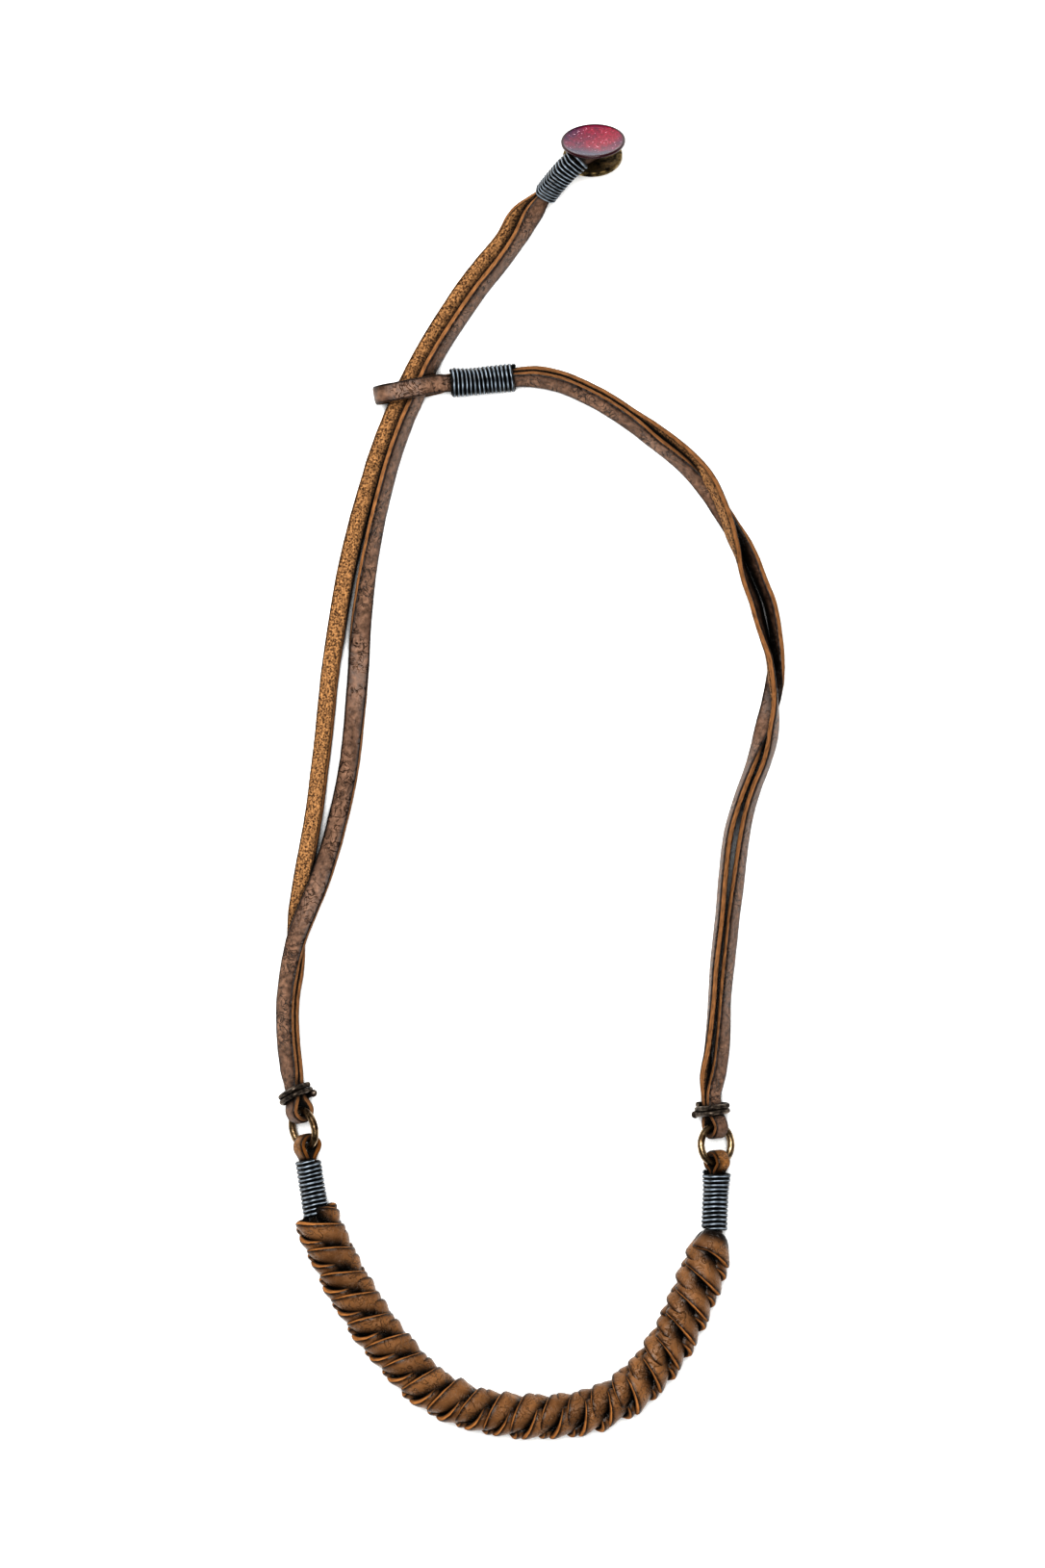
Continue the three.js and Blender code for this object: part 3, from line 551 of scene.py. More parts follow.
# %% Routes of the right strap
RIGHT_INNER = [
    (20.3, 55.4, 34, 0.3), (23.4, 53.0, 36, 0), (25.9, 50.8, 42, 0),
    (27.9, 48.6, 50, 0), (29.7, 46.3, 58, 0), (31.4, 43.7, 64, 0),
    (33.2, 41.0, 60, 0), (35.1, 38.4, 40, 0), (36.3, 36.0, 34, 0),
    (37.5, 33.0, 28, 0), (38.9, 29.6, 27, 0), (39.6, 26.6, 26, 0),
    (40.0, 23.6, 26, 0), (40.2, 21.0, 31, 0), (40.0, 18.4, 49, 0),
    (39.6, 15.6, 84, 0), (38.9, 12.4, 85, 0), (38.0, 9.2, 61, 0.05),
    (36.9, 6.0, 31, 0), (35.7, 2.6, 17, 0), (33.8, -2.5, 13, 0),
    (32.2, -8.2, 12, 0.1), (31.4, -14.8, 12, 0.1), (30.8, -21.8, 12, 0.2),
    (30.0, -29.0, 10, 0.1), (29.5, -36.5, 6, 0.2), (28.9, -43.0, -3, 0.05),
    (28.6, -47.3, -27, 0.1),
]
RIGHT_OUTER = [
    (20.4, 57.2, 40, 0), (23.7, 54.8, 38, 0.05), (26.7, 52.2, 34, 0.2),
    (29.2, 49.2, 28, 1.7), (30.8, 45.9, 26, 1.9), (32.0, 42.8, 26, 1.65),
    (32.9, 39.6, 20, 1.75), (34.0, 36.5, -2, 0.3), (35.2, 33.0, -20, 0),
    (36.5, 29.6, -25, 0), (37.4, 26.2, -22, 0), (38.3, 22.8, -12, 0.2),
    (38.9, 20.0, 0, 1.3), (39.2, 17.3, 4, 2.1), (39.6, 14.5, 0, 1.6),
    (39.7, 11.8, -9, 2.2), (39.5, 9.2, -21, 2.15), (39.1, 6.3, -19, 1.4),
    (38.2, 3.2, -16, 0.2), (36.6, -0.9, -20, 0.05), (35.4, -5.0, -22, 0),
    (34.5, -10.0, -24, 0), (33.8, -15.5, -29, 0), (33.0, -21.5, -32, 0),
    (32.3, -28.2, -31, 0), (31.6, -35.2, -30, 0), (31.3, -41.5, -42, 0.1),
    (30.7, -46.4, -43, 0.3),
]
print("rows in the right strap:", len(RIGHT_INNER) + len(RIGHT_OUTER))

# %% [markdown]
# The loop's two laces lie one above the other where they cross the left strap, so
# their heights are given in full. The other tables below are pairs that thread or
# wire holds together, from the button's neck round to the last whipping.

# %% Routes of the loop and of the held pairs
LOOP_UPPER = [
    (-20.4, 63.75, 5.72, 90), (-17.6, 64.25, 5.7, 90), (-15.0, 64.8, 4.35, 84),
]
LOOP_LOWER = [
    (-20.4, 63.75, 0.62, 90), (-17.8, 64.15, 0.62, 90), (-15.3, 64.65, 0.95, 86),
]
BUTTON_BINDING = [
    (7.4, 100.5, 8.4, 129), (5.9, 99.2, 7.7, 122), (4.2, 97.4, 6.2, 116),
    (2.5, 95.4, 4.1, 116),
]
LOOP_BINDING = [
    (-12.7, 65.0, 3.05, 76), (-9.3, 65.2, 2.55, 69), (-5.8, 65.6, 2.2, 59),
    (-2.4, 65.9, 2.15, 48),
]
RIGHT_ARC = [
    (1.0, 66.0, 2.0, 45), (5.0, 65.2, 1.98, 45), (9.0, 63.55, 1.98, 45),
    (12.8, 61.5, 1.98, 44), (16.6, 59.0, 1.97, 42),
]
LEFT_TIE = [
    (-38.2, -48.7, 2.4, 46), (-37.8, -50.7, 2.92, 42),
]
RIGHT_TIE = [
    (29.4, -50.4, 2.35, -47), (29.6, -53.0, 2.88, -51),
]
LEFT_CORE_BINDING = [
    (-35.95, -61.0, 3.0, 37), (-35.45, -64.1, 2.9, 38), (-34.95, -67.3, 3.0, 40),
    (-34.5, -70.2, 3.2, 42),
]
RIGHT_CORE_BINDING = [
    (29.9, -72.2, 3.1, 50), (30.0, -69.0, 2.75, 52), (30.15, -65.9, 2.5, 54),
    (30.3, -62.9, 2.5, 54),
]
print("rows under thread:", len(BUTTON_BINDING + LOOP_BINDING + LEFT_CORE_BINDING
                                + RIGHT_CORE_BINDING))

# %% Route of the braid's middle, from the left whipping to the right one
BRAID_ROUTE = [
    (-34.35, -70.3), (-33.9, -72.0), (-31.5, -77.1), (-27.3, -84.8), (-22.3, -91.5),
    (-16.2, -97.7), (-8.4, -101.3), (-0.2, -102.4), (8.5, -101.8), (16.3, -98.2),
    (21.8, -92.1), (26.0, -84.0), (29.3, -75.6), (29.7, -74.0),
]
print("places on the braid's route:", len(BRAID_ROUTE))

# %% [markdown]
# A station is one place on a lace: a point, the direction of its width, the width
# and the thickness. The next functions turn the tables into stations. The width's
# direction is always square to the route, and the two laces of a held pair lie on
# either side of the pair's middle.

# %% Sections and directions
FREE = (3.0, 1.15, 0.2)      # width, thickness, gap to the other lace
BOUND = (2.1, 0.95, 0.2)     # under a whipping
LOOP_BOUND = (2.65, 1.0, 0.15)
TIED = (2.6, 1.1, 0.25)
CORE = (2.6, 1.1, 0.2)
WIDE = 3.4                   # the upper left lace, which lies flatter and looks wider


def square_to(vector, direction):
    """The nearest direction to the vector that is square to the other one."""
    along = direction.normalized()
    return (vector - along * vector.dot(along)).normalized()


def width_axis(to_ring, lean):
    """Where the lace's width points: straight up at a lean of 0, flat at 90."""
    lean = math.radians(lean)
    side = UP.cross(to_ring).normalized()
    return square_to(UP * math.cos(lean) + side * math.sin(lean), to_ring)


def directions(points, closed=False):
    """The way at each point: from the point before it to the point after it."""
    before, after = points[-1:] + points[:-1], points[1:] + points[:1]
    if not closed:
        before[0], after[-1] = points[0], points[-1]
    return [(b - a).normalized() for a, b in zip(before, after)]


print("a free lace is", FREE[0], "by", FREE[1], "mm")

# %% Stations along a route


def free_run(rows, width=FREE[0]):
    """A lace that rests on the table, or the given lift above it."""
    thick = FREE[1]
    points = []
    for x, y, lean, lift in rows:
        tilt = math.radians(lean)
        rest = width / 2 * abs(math.cos(tilt)) + thick / 2 * abs(math.sin(tilt))
        points.append(Vector((x, y, rest + lift)))
    ways = directions(points)
    return [(p, width_axis(way, row[2]), width, thick) for p, way, row in zip(points, ways, rows)]


def loop_run(rows):
    points = [Vector(row[:3]) for row in rows]
    ways = directions(points)
    return [(p, width_axis(way, row[3]), *FREE[:2]) for p, way, row in zip(points, ways, rows)]


def paired_run(rows, side, section):
    """One of two laces that lie side by side: side is 1 or -1."""
    width, thick, gap = section
    points = [Vector(row[:3]) for row in rows]
    stations = []
    for point, way, row in zip(points, directions(points), rows):
        edge = width_axis(way, row[3])
        stations.append((point + way.cross(edge) * side * (thick + gap) / 2, edge, width, thick))
    return stations


print("stations in the upper left run:", len(free_run(LEFT_UPPER)))

# %% A fold round a ring, a neck or the loop's end
FOLD_STEPS = 6


def fold(centre, travel, edge, radius, width, thick):
    """A half turn about the width, for a lace that arrives along travel."""
    arrive = square_to(travel, edge)
    outward = arrive.cross(edge)
    turns = [math.pi * i / FOLD_STEPS for i in range(FOLD_STEPS + 1)]
    return [(centre + (outward * math.cos(t) + arrive * math.sin(t)) * radius, edge, width, thick)
            for t in turns]


print("a fold is a half turn in steps of", 180 / FOLD_STEPS, "degrees")

# %% [markdown]
# Between the stations the lace follows a Catmull-Rom curve, which passes through
# every station. The points use the centripetal kind, which doesn't loop or overshoot
# where stations lie close together; directions and sizes use the plain kind, and
# sizes change with gentle slopes, so that they don't overshoot either.

# %% Smooth curves through the stations
LEAST_SPAN = 0.01
SIZE_SLOPE = 5


def bend(p, weights, steps):
    """One span of a Catmull-Rom curve, between the second and third of four points."""
    a, b, c = weights
    start = ((p[1] - p[0]) / a - (p[2] - p[0]) / (a + b) + (p[2] - p[1]) / b) * b
    end = ((p[2] - p[1]) / b - (p[3] - p[1]) / (b + c) + (p[3] - p[2]) / c) * b
    return hermite(p[1], p[2], start, end, steps)


def hermite(start, end, slope_start, slope_end, steps):
    """Values from start up to end, with the slopes given at both."""
    values = []
    for i in range(steps):
        t = i / steps
        values.append(start * (2 * t ** 3 - 3 * t ** 2 + 1) + end * (3 * t ** 2 - 2 * t ** 3)
                      + slope_start * (t ** 3 - 2 * t ** 2 + t) + slope_end * (t ** 3 - t ** 2))
    return values


def smooth(stations, steps, closed):
    """More stations, with the given number of steps between each two."""
    count = len(stations)
    spans = count if closed else count - 1
    result = []
    for i in range(spans):
        if closed:
            four = [stations[(i + k) % count] for k in (-1, 0, 1, 2)]
        else:
            four = [stations[min(max(i + k, 0), count - 1)] for k in (-1, 0, 1, 2)]
        points = [s[0] for s in four]
        if not closed and i == 0:
            points[0] = points[1] * 2 - points[2]
        if not closed and i == spans - 1:
            points[3] = points[2] * 2 - points[1]
        weights = [max(math.sqrt((b - a).length), LEAST_SPAN) for a, b in zip(points, points[1:])]
        edges = [s[1] for s in four]
        sizes = [Vector((s[2], s[3])) for s in four]
        places = bend(points, weights, steps)
        turned, sized = [
            hermite(v[1], v[2], (v[2] - v[0]) / slope, (v[3] - v[1]) / slope, steps)
            for v, slope in ((edges, 2), (sizes, SIZE_SLOPE))]
        result += [(p, e, s.x, s.y) for p, e, s in zip(places, turned, sized)]
    return result if closed else result + [stations[-1]]


print("smooth steps keep the stations:", len(smooth(free_run(LEFT_UPPER), 4, False)))

# %% [markdown]
# ## From a route to leather
#
# Blender's Curve to Mesh node sweeps a profile along a curve, but a flat lace that
# twists needs its own idea of which way is wide. So the guide line carries three
# attributes: half the width and half the thickness as vectors, and the way along.
# The tree below sweeps a plain circle, only for its faces, and then puts each point
# where those vectors say. A power of less than one squares the circle off to the
# section of a cut lace with softened corners. Noise along the surface makes it lumpy,
# as leather that was wetted and pulled is.

# %% Starting and ending a tree
STORE, READ = "GeometryNodeStoreNamedAttribute", "GeometryNodeInputNamedAttribute"
VECTORS = {"data_type": "FLOAT_VECTOR"}


def start_tree(name, sizes):
    tree = bpy.data.node_groups.new(name, "GeometryNodeTree")
    tree.interface.new_socket("Geometry", in_out="INPUT", socket_type="NodeSocketGeometry")
    for label, kind in sizes.items():
        tree.interface.new_socket(label, in_out="INPUT", socket_type="NodeSocket" + kind)
    tree.interface.new_socket("Geometry", in_out="OUTPUT", socket_type="NodeSocketGeometry")
    return tree, add(tree, "NodeGroupInput").outputs, add(tree, "NodeGroupOutput").inputs


def end_tree(tree, body, material, result):
    body = add(tree, "GeometryNodeSetShadeSmooth", {"Geometry": body})
    body = add(tree, "GeometryNodeRealizeInstances", {"Geometry": body})
    body = add(tree, "GeometryNodeSetMaterial", {"Geometry": body, "Material": material})
    tree.links.new(body.outputs[0], result[0])
    print(f"nodes in the tree {tree.name}: {len(tree.nodes)}")
    return tree


print("attributes are stored by", STORE)

# %% The skin of a swept piece
SKIN_SIZES = {"Sides": "Int", "Squareness": "Float", "Lump height": "Float", "Lump size": "Float",
              "Material": "Material"}


def squared(tree, value, power):
    """A power of the size that keeps the sign: under one, it squares a circle off."""
    size = add(tree, MATH, [value], "ABSOLUTE")
    size = add(tree, MATH, [size, power], "POWER")
    sign = add(tree, MATH, [value], "SIGN")
    return add(tree, MATH, [size, sign], "MULTIPLY")


def add_tube(tree, line, sides, radius):
    """Sweeps a circle along a line, and tells each point its place on the circle."""
    here = add(tree, "GeometryNodeInputPosition")
    circle = add(tree, "GeometryNodeCurvePrimitiveCircle", {"Resolution": sides, "Radius": radius})
    circle = add(tree, STORE, {"Geometry": circle, "Name": "corner", "Value": here}, **VECTORS)
    tube = add(tree, "GeometryNodeCurveToMesh", {"Curve": line, "Profile Curve": circle,
                                                 "Fill Caps": True})
    corner = add(tree, READ, ["corner"], **VECTORS)
    return tube, add(tree, "ShaderNodeSeparateXYZ", [corner]).outputs


def add_lace(tree, body, across, side):
    """The attribute that the materials read: the way along, across and through."""
    along = add(tree, READ, ["along"])
    lace = add(tree, "ShaderNodeCombineXYZ", [along, across, side])
    return add(tree, STORE, {"Geometry": body, "Name": "lace", "Value": lace}, **VECTORS)


def add_skin(tree, line, sizes):
    """Sweeps the line's section along it, from its half width and half thickness."""
    middle = add(tree, "GeometryNodeInputPosition")
    line = add(tree, STORE, {"Geometry": line, "Name": "middle", "Value": middle}, **VECTORS)
    body, corner = add_tube(tree, line, sizes["Sides"], 1.0)
    across, side = [squared(tree, corner[axis], sizes["Squareness"]) for axis in ("X", "Y")]
    edge, face, middle = [add(tree, READ, [name], **VECTORS)
                          for name in ("edge", "face", "middle")]
    wide = add(tree, VECTOR, [edge, across], "SCALE")
    thick = add(tree, VECTOR, [face, side], "SCALE")
    off = add(tree, VECTOR, [wide, thick], "ADD")
    place = add(tree, VECTOR, [middle, off], "ADD")
    body = add(tree, "GeometryNodeSetPosition", {"Geometry": body, "Position": place})

    lump_scale = add(tree, MATH, [1.0, sizes["Lump size"]], "DIVIDE")
    lumps = add(tree, NOISE, {"Scale": lump_scale, "Detail": 2.0})
    lumps = add(tree, MATH, [lumps, 0.5], "SUBTRACT")
    lumps = add(tree, MATH, [lumps, sizes["Lump height"]], "MULTIPLY")
    outward = add(tree, VECTOR, [off], "NORMALIZE")
    shift = add(tree, VECTOR, [outward, lumps], "SCALE")
    body = add(tree, "GeometryNodeSetPosition", {"Geometry": body, "Offset": shift})
    return add_lace(tree, body, across, side)


print("sizes of a skin:", list(SKIN_SIZES))

# %% The tree that sweeps a lace
sweep_tree, sizes, result = start_tree("sweep", SKIN_SIZES)
line = add(sweep_tree, "GeometryNodeMeshToCurve", [sizes["Geometry"]])
end_tree(sweep_tree, add_skin(sweep_tree, line, sizes), sizes["Material"], result)

# %% [markdown]
# A guide is a mesh of points and edges with no faces. A tree runs on it, the result
# is kept as a plain mesh, and the guide is thrown away. The volume's sign tells
# whether the faces look outwards.

# %% Guides


def guide(name, stations, closed):
    points = [to_frame(s[0]) for s in stations]
    ways = directions(points, closed)
    count = len(points)
    links = [(i, i + 1) for i in range(count - 1)] + ([(count - 1, 0)] if closed else [])
    mesh = bpy.data.meshes.new(name + "_guide")
    mesh.from_pydata(points, links, [])
    along = 0.0
    values = {"edge": [], "face": [], "along": []}
    for i, (_, edge, width, thick) in enumerate(stations):
        edge = square_to(edge, ways[i])
        along += (points[i] - points[i - 1]).length if i else 0.0
        values["edge"].extend(edge * (width / 2 * MM))
        values["face"].extend(ways[i].cross(edge) * (thick / 2 * MM))
        values["along"].append(along)
    for key, numbers in values.items():
        kind, field = ("FLOAT", "value") if key == "along" else ("FLOAT_VECTOR", "vector")
        mesh.attributes.new(key, kind, "POINT").data.foreach_set(field, numbers)
    return mesh


print("guides carry edge, face and along")

# %% Keeping what a tree makes


def keep(name, source_mesh, tree, sizes, slot, *nodes):
    """Runs a tree on a guide and keeps the result as a piece of the necklace."""
    source = bpy.data.objects.new(name + "_source", source_mesh)
    bpy.context.scene.collection.objects.link(source)
    modifier = source.modifiers.new("shape", "NODES")
    modifier.node_group = tree
    for item in tree.interface.items_tree:
        if item.in_out == "INPUT" and item.name in sizes:
            modifier[item.identifier] = sizes[item.name]
    source.update_tag()
    result = source.evaluated_get(bpy.context.evaluated_depsgraph_get())
    mesh = bpy.data.meshes.new_from_object(result)
    bpy.data.objects.remove(source)
    return place_piece(name, mesh, slot, *nodes)


def place_piece(name, mesh, slot, *nodes):
    """Turns the faces outwards, hangs the piece under the root body and hides the CAD nodes that
    it stands for.
    """
    body = bmesh.new()
    body.from_mesh(mesh)
    if body.calc_volume(signed=True) < 0:
        bmesh.ops.reverse_faces(body, faces=body.faces)
        body.to_mesh(mesh)
    triangles = sum(len(face.verts) - 2 for face in body.faces)
    body.free()
    mesh.name = name
    piece = bpy.data.objects.new(name, mesh)
    bpy.context.scene.collection.objects.link(piece)
    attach(piece, "root")
    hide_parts(*nodes)
    print(f"{name}: {triangles} triangles")
    return piece


print("pieces are kept with their place in the mesh")

# %% [markdown]
# ## The straps
#
# Each strap is one endless lace: down one side, round the ring, up the other side
# and round the button's neck, or round the open end of the loop. The ring's place
# and tilt and the button's place come first, because the bends are made round them.

# %% Rings, button and loop end
RING_RADIUS = 3.05
RING_WIRE = 0.6
RING_FOLD = (1.62, 2.4, 1.1)     # radius, width and thickness of a lace bent round a ring
NECK_FOLD = (1.6, 1.7, 0.85)
LOOP_FOLD = (2.55, 3.0, 1.15)


def ring_place(centre, way, lean):
    along = Vector((*way, 0)).normalized()
    return centre, along, width_axis(-along, lean)


def ring_fold(ring, side, travel):
    centre, along, edge = ring
    return fold(centre + along * side * RING_RADIUS, travel, edge, *RING_FOLD)


LEFT_RING = ring_place(LEFT_RING_CENTRE, (-0.216, 0.976), 37)
RIGHT_RING = ring_place(Vector((30.2, -58.4, 2.55)), (-0.05, 0.999), -54)
BASE_FOOT = Vector((10.2, 101.3, 3.46))
BASE_UP = Vector((-0.04, 0.718, 0.695)).normalized()
CAP_RIM = Vector((10.23, 104.0, 7.5))
CAP_UP = Vector((-0.04, 0.823, 0.567)).normalized()
NECK = BASE_FOOT + BASE_UP * 2.05
LOOP_END = Vector((-22.2, 63.4, 3.17))
INTO_LOOP = Vector((-0.983, -0.182, 0))
print("ring tilt as a vector:", [round(value, 2) for value in LEFT_RING[2]])

# %% [markdown]
# A strap's guide is one closed line: down the upper lace, round the ring, back up the
# lower lace, and round the neck or the loop's end. Two laces and two bends as four
# pieces would be quicker to draw, but would leave four joints to hide.

# %% The two straps
LACE_STEPS = 8
LACE_SIZES = {"Sides": 24, "Squareness": 0.42, "Lump height": 0.16 * MM, "Lump size": 2.2 * MM,
              "Material": strap_leather}

left_strap = (
    paired_run(BUTTON_BINDING, 1, BOUND) + free_run(LEFT_UPPER, WIDE)
    + paired_run(LEFT_TIE, 1, TIED)
    + ring_fold(LEFT_RING, 1, -LEFT_RING[1])
    + (paired_run(BUTTON_BINDING, -1, BOUND) + free_run(LEFT_LOWER)
       + paired_run(LEFT_TIE, -1, TIED))[::-1]
    + fold(NECK, NECK - Vector(BUTTON_BINDING[0][:3]), -BASE_UP, *NECK_FOLD))
right_strap = (
    loop_run(LOOP_UPPER) + paired_run(LOOP_BINDING, 1, LOOP_BOUND) + paired_run(RIGHT_ARC, 1, FREE)
    + free_run(RIGHT_INNER) + paired_run(RIGHT_TIE, 1, TIED)
    + ring_fold(RIGHT_RING, 1, -RIGHT_RING[1])
    + (loop_run(LOOP_LOWER) + paired_run(LOOP_BINDING, -1, LOOP_BOUND)
       + paired_run(RIGHT_ARC, -1, FREE) + free_run(RIGHT_OUTER)
       + paired_run(RIGHT_TIE, -1, TIED))[::-1]
    + fold(LOOP_END, INTO_LOOP, width_axis(-INTO_LOOP, 90), *LOOP_FOLD))

for name, stations, node in (("left_strap", left_strap, "left_lace"),
                             ("right_strap", right_strap, "right_lace")):
    fine = smooth(stations, LACE_STEPS, True)
    keep(name, guide(name, fine, True), sweep_tree, LACE_SIZES, "strap_leather", node)

# %% [markdown]
# ## The braid
#
# The core is one more endless lace, doubled between the rings. Round it goes a
# crown sinnet: the working laces pass over each other on four sides in turn, so each
# pass covers the end of the one before. Seen from outside it is one row of short
# arched bands after another, like shingles, and the whole turns slowly on its way
# round the neck. It could be made as four long laces that pass over and under, but
# each crossing would need its own points. One band for each pass needs one rule.

# %% The core
CORE_HEIGHT = 3.52
CORE_LEAN = 44         # degrees, at the left end
CORE_LEAN_GAIN = 6     # degrees more at the right end

middle_rows = [(x, y, CORE_HEIGHT, CORE_LEAN + CORE_LEAN_GAIN * i / (len(BRAID_ROUTE) - 2))
               for i, (x, y) in enumerate(BRAID_ROUTE[1:-1])]


def core_run(side):
    open_rows = LEFT_CORE_BINDING[-1:] + middle_rows + RIGHT_CORE_BINDING[:1]
    return (paired_run(LEFT_CORE_BINDING + middle_rows[:1], side, BOUND)[:-1]
            + paired_run(open_rows, side, CORE)[1:-1]
            + paired_run(middle_rows[-1:] + RIGHT_CORE_BINDING, side, BOUND)[1:])


core = (core_run(1) + ring_fold(RIGHT_RING, -1, RIGHT_RING[1])
        + core_run(-1)[::-1] + ring_fold(LEFT_RING, -1, LEFT_RING[1]))
keep("core_lace", guide("core_lace", smooth(core, LACE_STEPS, True), True), sweep_tree,
     {**LACE_SIZES, "Material": core_leather}, "core_leather", "braid_core")

# %% [markdown]
# One rule places every band. Each next band lies a quarter turn further round and a
# quarter of the pitch further on. A band is an arch over its own side: it stands
# highest in its middle, and its two ends dive under the bands beside it. It is rolled
# so that its near edge rides on the band before, which shows the orange cut edge.
# The tree makes one curve for each band from loose points, and the same skin as for
# the straps goes over them. Its first part counts the bands, and finds for each point
# which band it is on and how far across that band it lies, from -1 to 1.

# %% The tree of the braid: its bands
ARCH_POWER = 10.0      # how suddenly a band's ends dive
LATE_TURNING = 1.25    # over 1, the braid turns more in its second half
GRAIN_STEP = 0.013     # m along the leather from one band to the next, so none is alike
WAVES = ("SINE", "COSINE")

tree, sizes, result = start_tree("braid", {
    "Knots": "Int", "Columns": "Int", "Steps": "Int", "Reach": "Float", "Advance": "Float",
    "Middle radius": "Float", "End radius": "Float", "Middle roll": "Float", "End roll": "Float",
    "Width": "Float", "Thickness": "Float", "First turn": "Float", "Whole turn": "Float",
    "Side drop": "Float", "Flatness": "Float", "Unshaded above": "Float", "Black below": "Float",
    "Unevenness": "Float", "Seed": "Int", **SKIN_SIZES})
axis = add(tree, "GeometryNodeMeshToCurve", [sizes["Geometry"]])
axis_length = add(tree, "GeometryNodeCurveLength", [axis])
bands = add(tree, MATH, [sizes["Knots"], sizes["Columns"]], "MULTIPLY")
point_count = add(tree, MATH, [bands, sizes["Steps"]], "MULTIPLY")
points = add(tree, "GeometryNodePoints", [point_count])

index = add(tree, "GeometryNodeInputIndex")
band = add(tree, MATH, [index, sizes["Steps"]], "DIVIDE")
band = add(tree, MATH, [band], "FLOOR")
step = add(tree, MATH, [index, sizes["Steps"]], "MODULO")
last_step = add(tree, MATH, [sizes["Steps"], 1.0], "SUBTRACT")
across_band = add(tree, RANGE, [step, 0.0, last_step, -1.0, 1.0])
angle = add(tree, MATH, [across_band, sizes["Reach"]], "MULTIPLY")
sine, cosine = [add(tree, MATH, [angle], wave) for wave in WAVES]
arch = add(tree, MATH, [across_band, ARCH_POWER], "POWER")

chance = add(tree, "FunctionNodeRandomValue", [(-1.0,) * 3, (1.0,) * 3, band, sizes["Seed"]],
             **VECTORS)
chance = add(tree, VECTOR, [chance, sizes["Unevenness"]], "SCALE")
chance = add(tree, "ShaderNodeSeparateXYZ", [chance])

print("nodes so far:", len(tree.nodes))

# %% [markdown]
# The second part says where a point lies: how far along the braid, and at which angle
# round it. A band at the side of the braid is also pushed in a little at its ends, so
# that the bands above and below it cover them.

# %% The tree of the braid: places
progress = add(tree, MATH, [band, 0.5], "ADD")
progress = add(tree, MATH, [progress, bands], "DIVIDE")
way_on = add(tree, MATH, [progress, axis_length], "MULTIPLY")
way_on = add(tree, MATH, [sine, sizes["Advance"], way_on], "MULTIPLY_ADD")
way_on = add(tree, MATH, [way_on, chance.outputs["X"]], "ADD")
late = add(tree, MATH, [progress, LATE_TURNING], "POWER")
turning = add(tree, RANGE, [late, 0.0, 1.0, 0.0, sizes["Whole turn"]],
              interpolation_type="SMOOTHSTEP")
quarter = add(tree, MATH, [-math.tau, sizes["Columns"]], "DIVIDE")
turn = add(tree, MATH, [band, quarter, turning], "MULTIPLY_ADD")
turn = add(tree, MATH, [turn, sizes["First turn"]], "ADD")
level = add(tree, MATH, [turn], "SINE")
level = add(tree, MATH, [level, level], "MULTIPLY")
level = add(tree, MATH, [level, sizes["Side drop"]], "MULTIPLY")
square = add(tree, MATH, [across_band, across_band], "MULTIPLY")
level = add(tree, MATH, [level, square], "MULTIPLY")
turn = add(tree, MATH, [turn, angle], "ADD")
turn_sine, turn_cosine = [add(tree, MATH, [turn], wave) for wave in WAVES]

on_axis = add(tree, "GeometryNodeSampleCurve", {"Curves": axis, "Length": way_on}, mode="LENGTH")
ahead = on_axis.outputs["Tangent"]
left = add(tree, VECTOR, [tuple(UP), ahead], "CROSS_PRODUCT")
left = add(tree, VECTOR, [left], "NORMALIZE")
outward = add(tree, "ShaderNodeCombineXYZ", {"Z": turn_cosine})
outward = add(tree, VECTOR, [left, turn_sine, outward], "MULTIPLY_ADD")
down = add(tree, MATH, [turn_sine, -1.0], "MULTIPLY")
around = add(tree, "ShaderNodeCombineXYZ", {"Z": down})
around = add(tree, VECTOR, [left, turn_cosine, around], "MULTIPLY_ADD")

print("nodes so far:", len(tree.nodes))

# %% [markdown]
# The third part turns the band's width and thickness: square to its slanting path,
# and rolled, so that one edge stands up on the band before.

# %% The tree of the braid: directions
slope = add(tree, MATH, [cosine, sizes["Advance"]], "MULTIPLY")
slope = add(tree, MATH, [slope, sizes["Middle radius"]], "DIVIDE")
back = add(tree, MATH, [slope, -1.0], "MULTIPLY")
flat_edge = add(tree, VECTOR, [around, back], "SCALE")
flat_edge = add(tree, VECTOR, [flat_edge, ahead], "ADD")
flat_edge = add(tree, VECTOR, [flat_edge], "NORMALIZE")
roll = add(tree, MIX, [square, sizes["Middle roll"], sizes["End roll"]])
roll_sine, roll_cosine = [add(tree, MATH, [roll], wave) for wave in WAVES]
sunk = add(tree, MATH, [roll_sine, -1.0], "MULTIPLY")
sunk = add(tree, VECTOR, [outward, sunk], "SCALE")
edge = add(tree, VECTOR, [flat_edge, roll_cosine, sunk], "MULTIPLY_ADD")
raised = add(tree, VECTOR, [outward, roll_cosine], "SCALE")
face = add(tree, VECTOR, [flat_edge, roll_sine, raised], "MULTIPLY_ADD")

print("nodes so far:", len(tree.nodes))

# %% [markdown]
# The last part sets the points, joins each band's points to a curve and puts the skin
# on. It also writes an attribute of painted shade, which is black at the bottom of the
# gaps between bands, where the surface lies nearest the braid's middle.

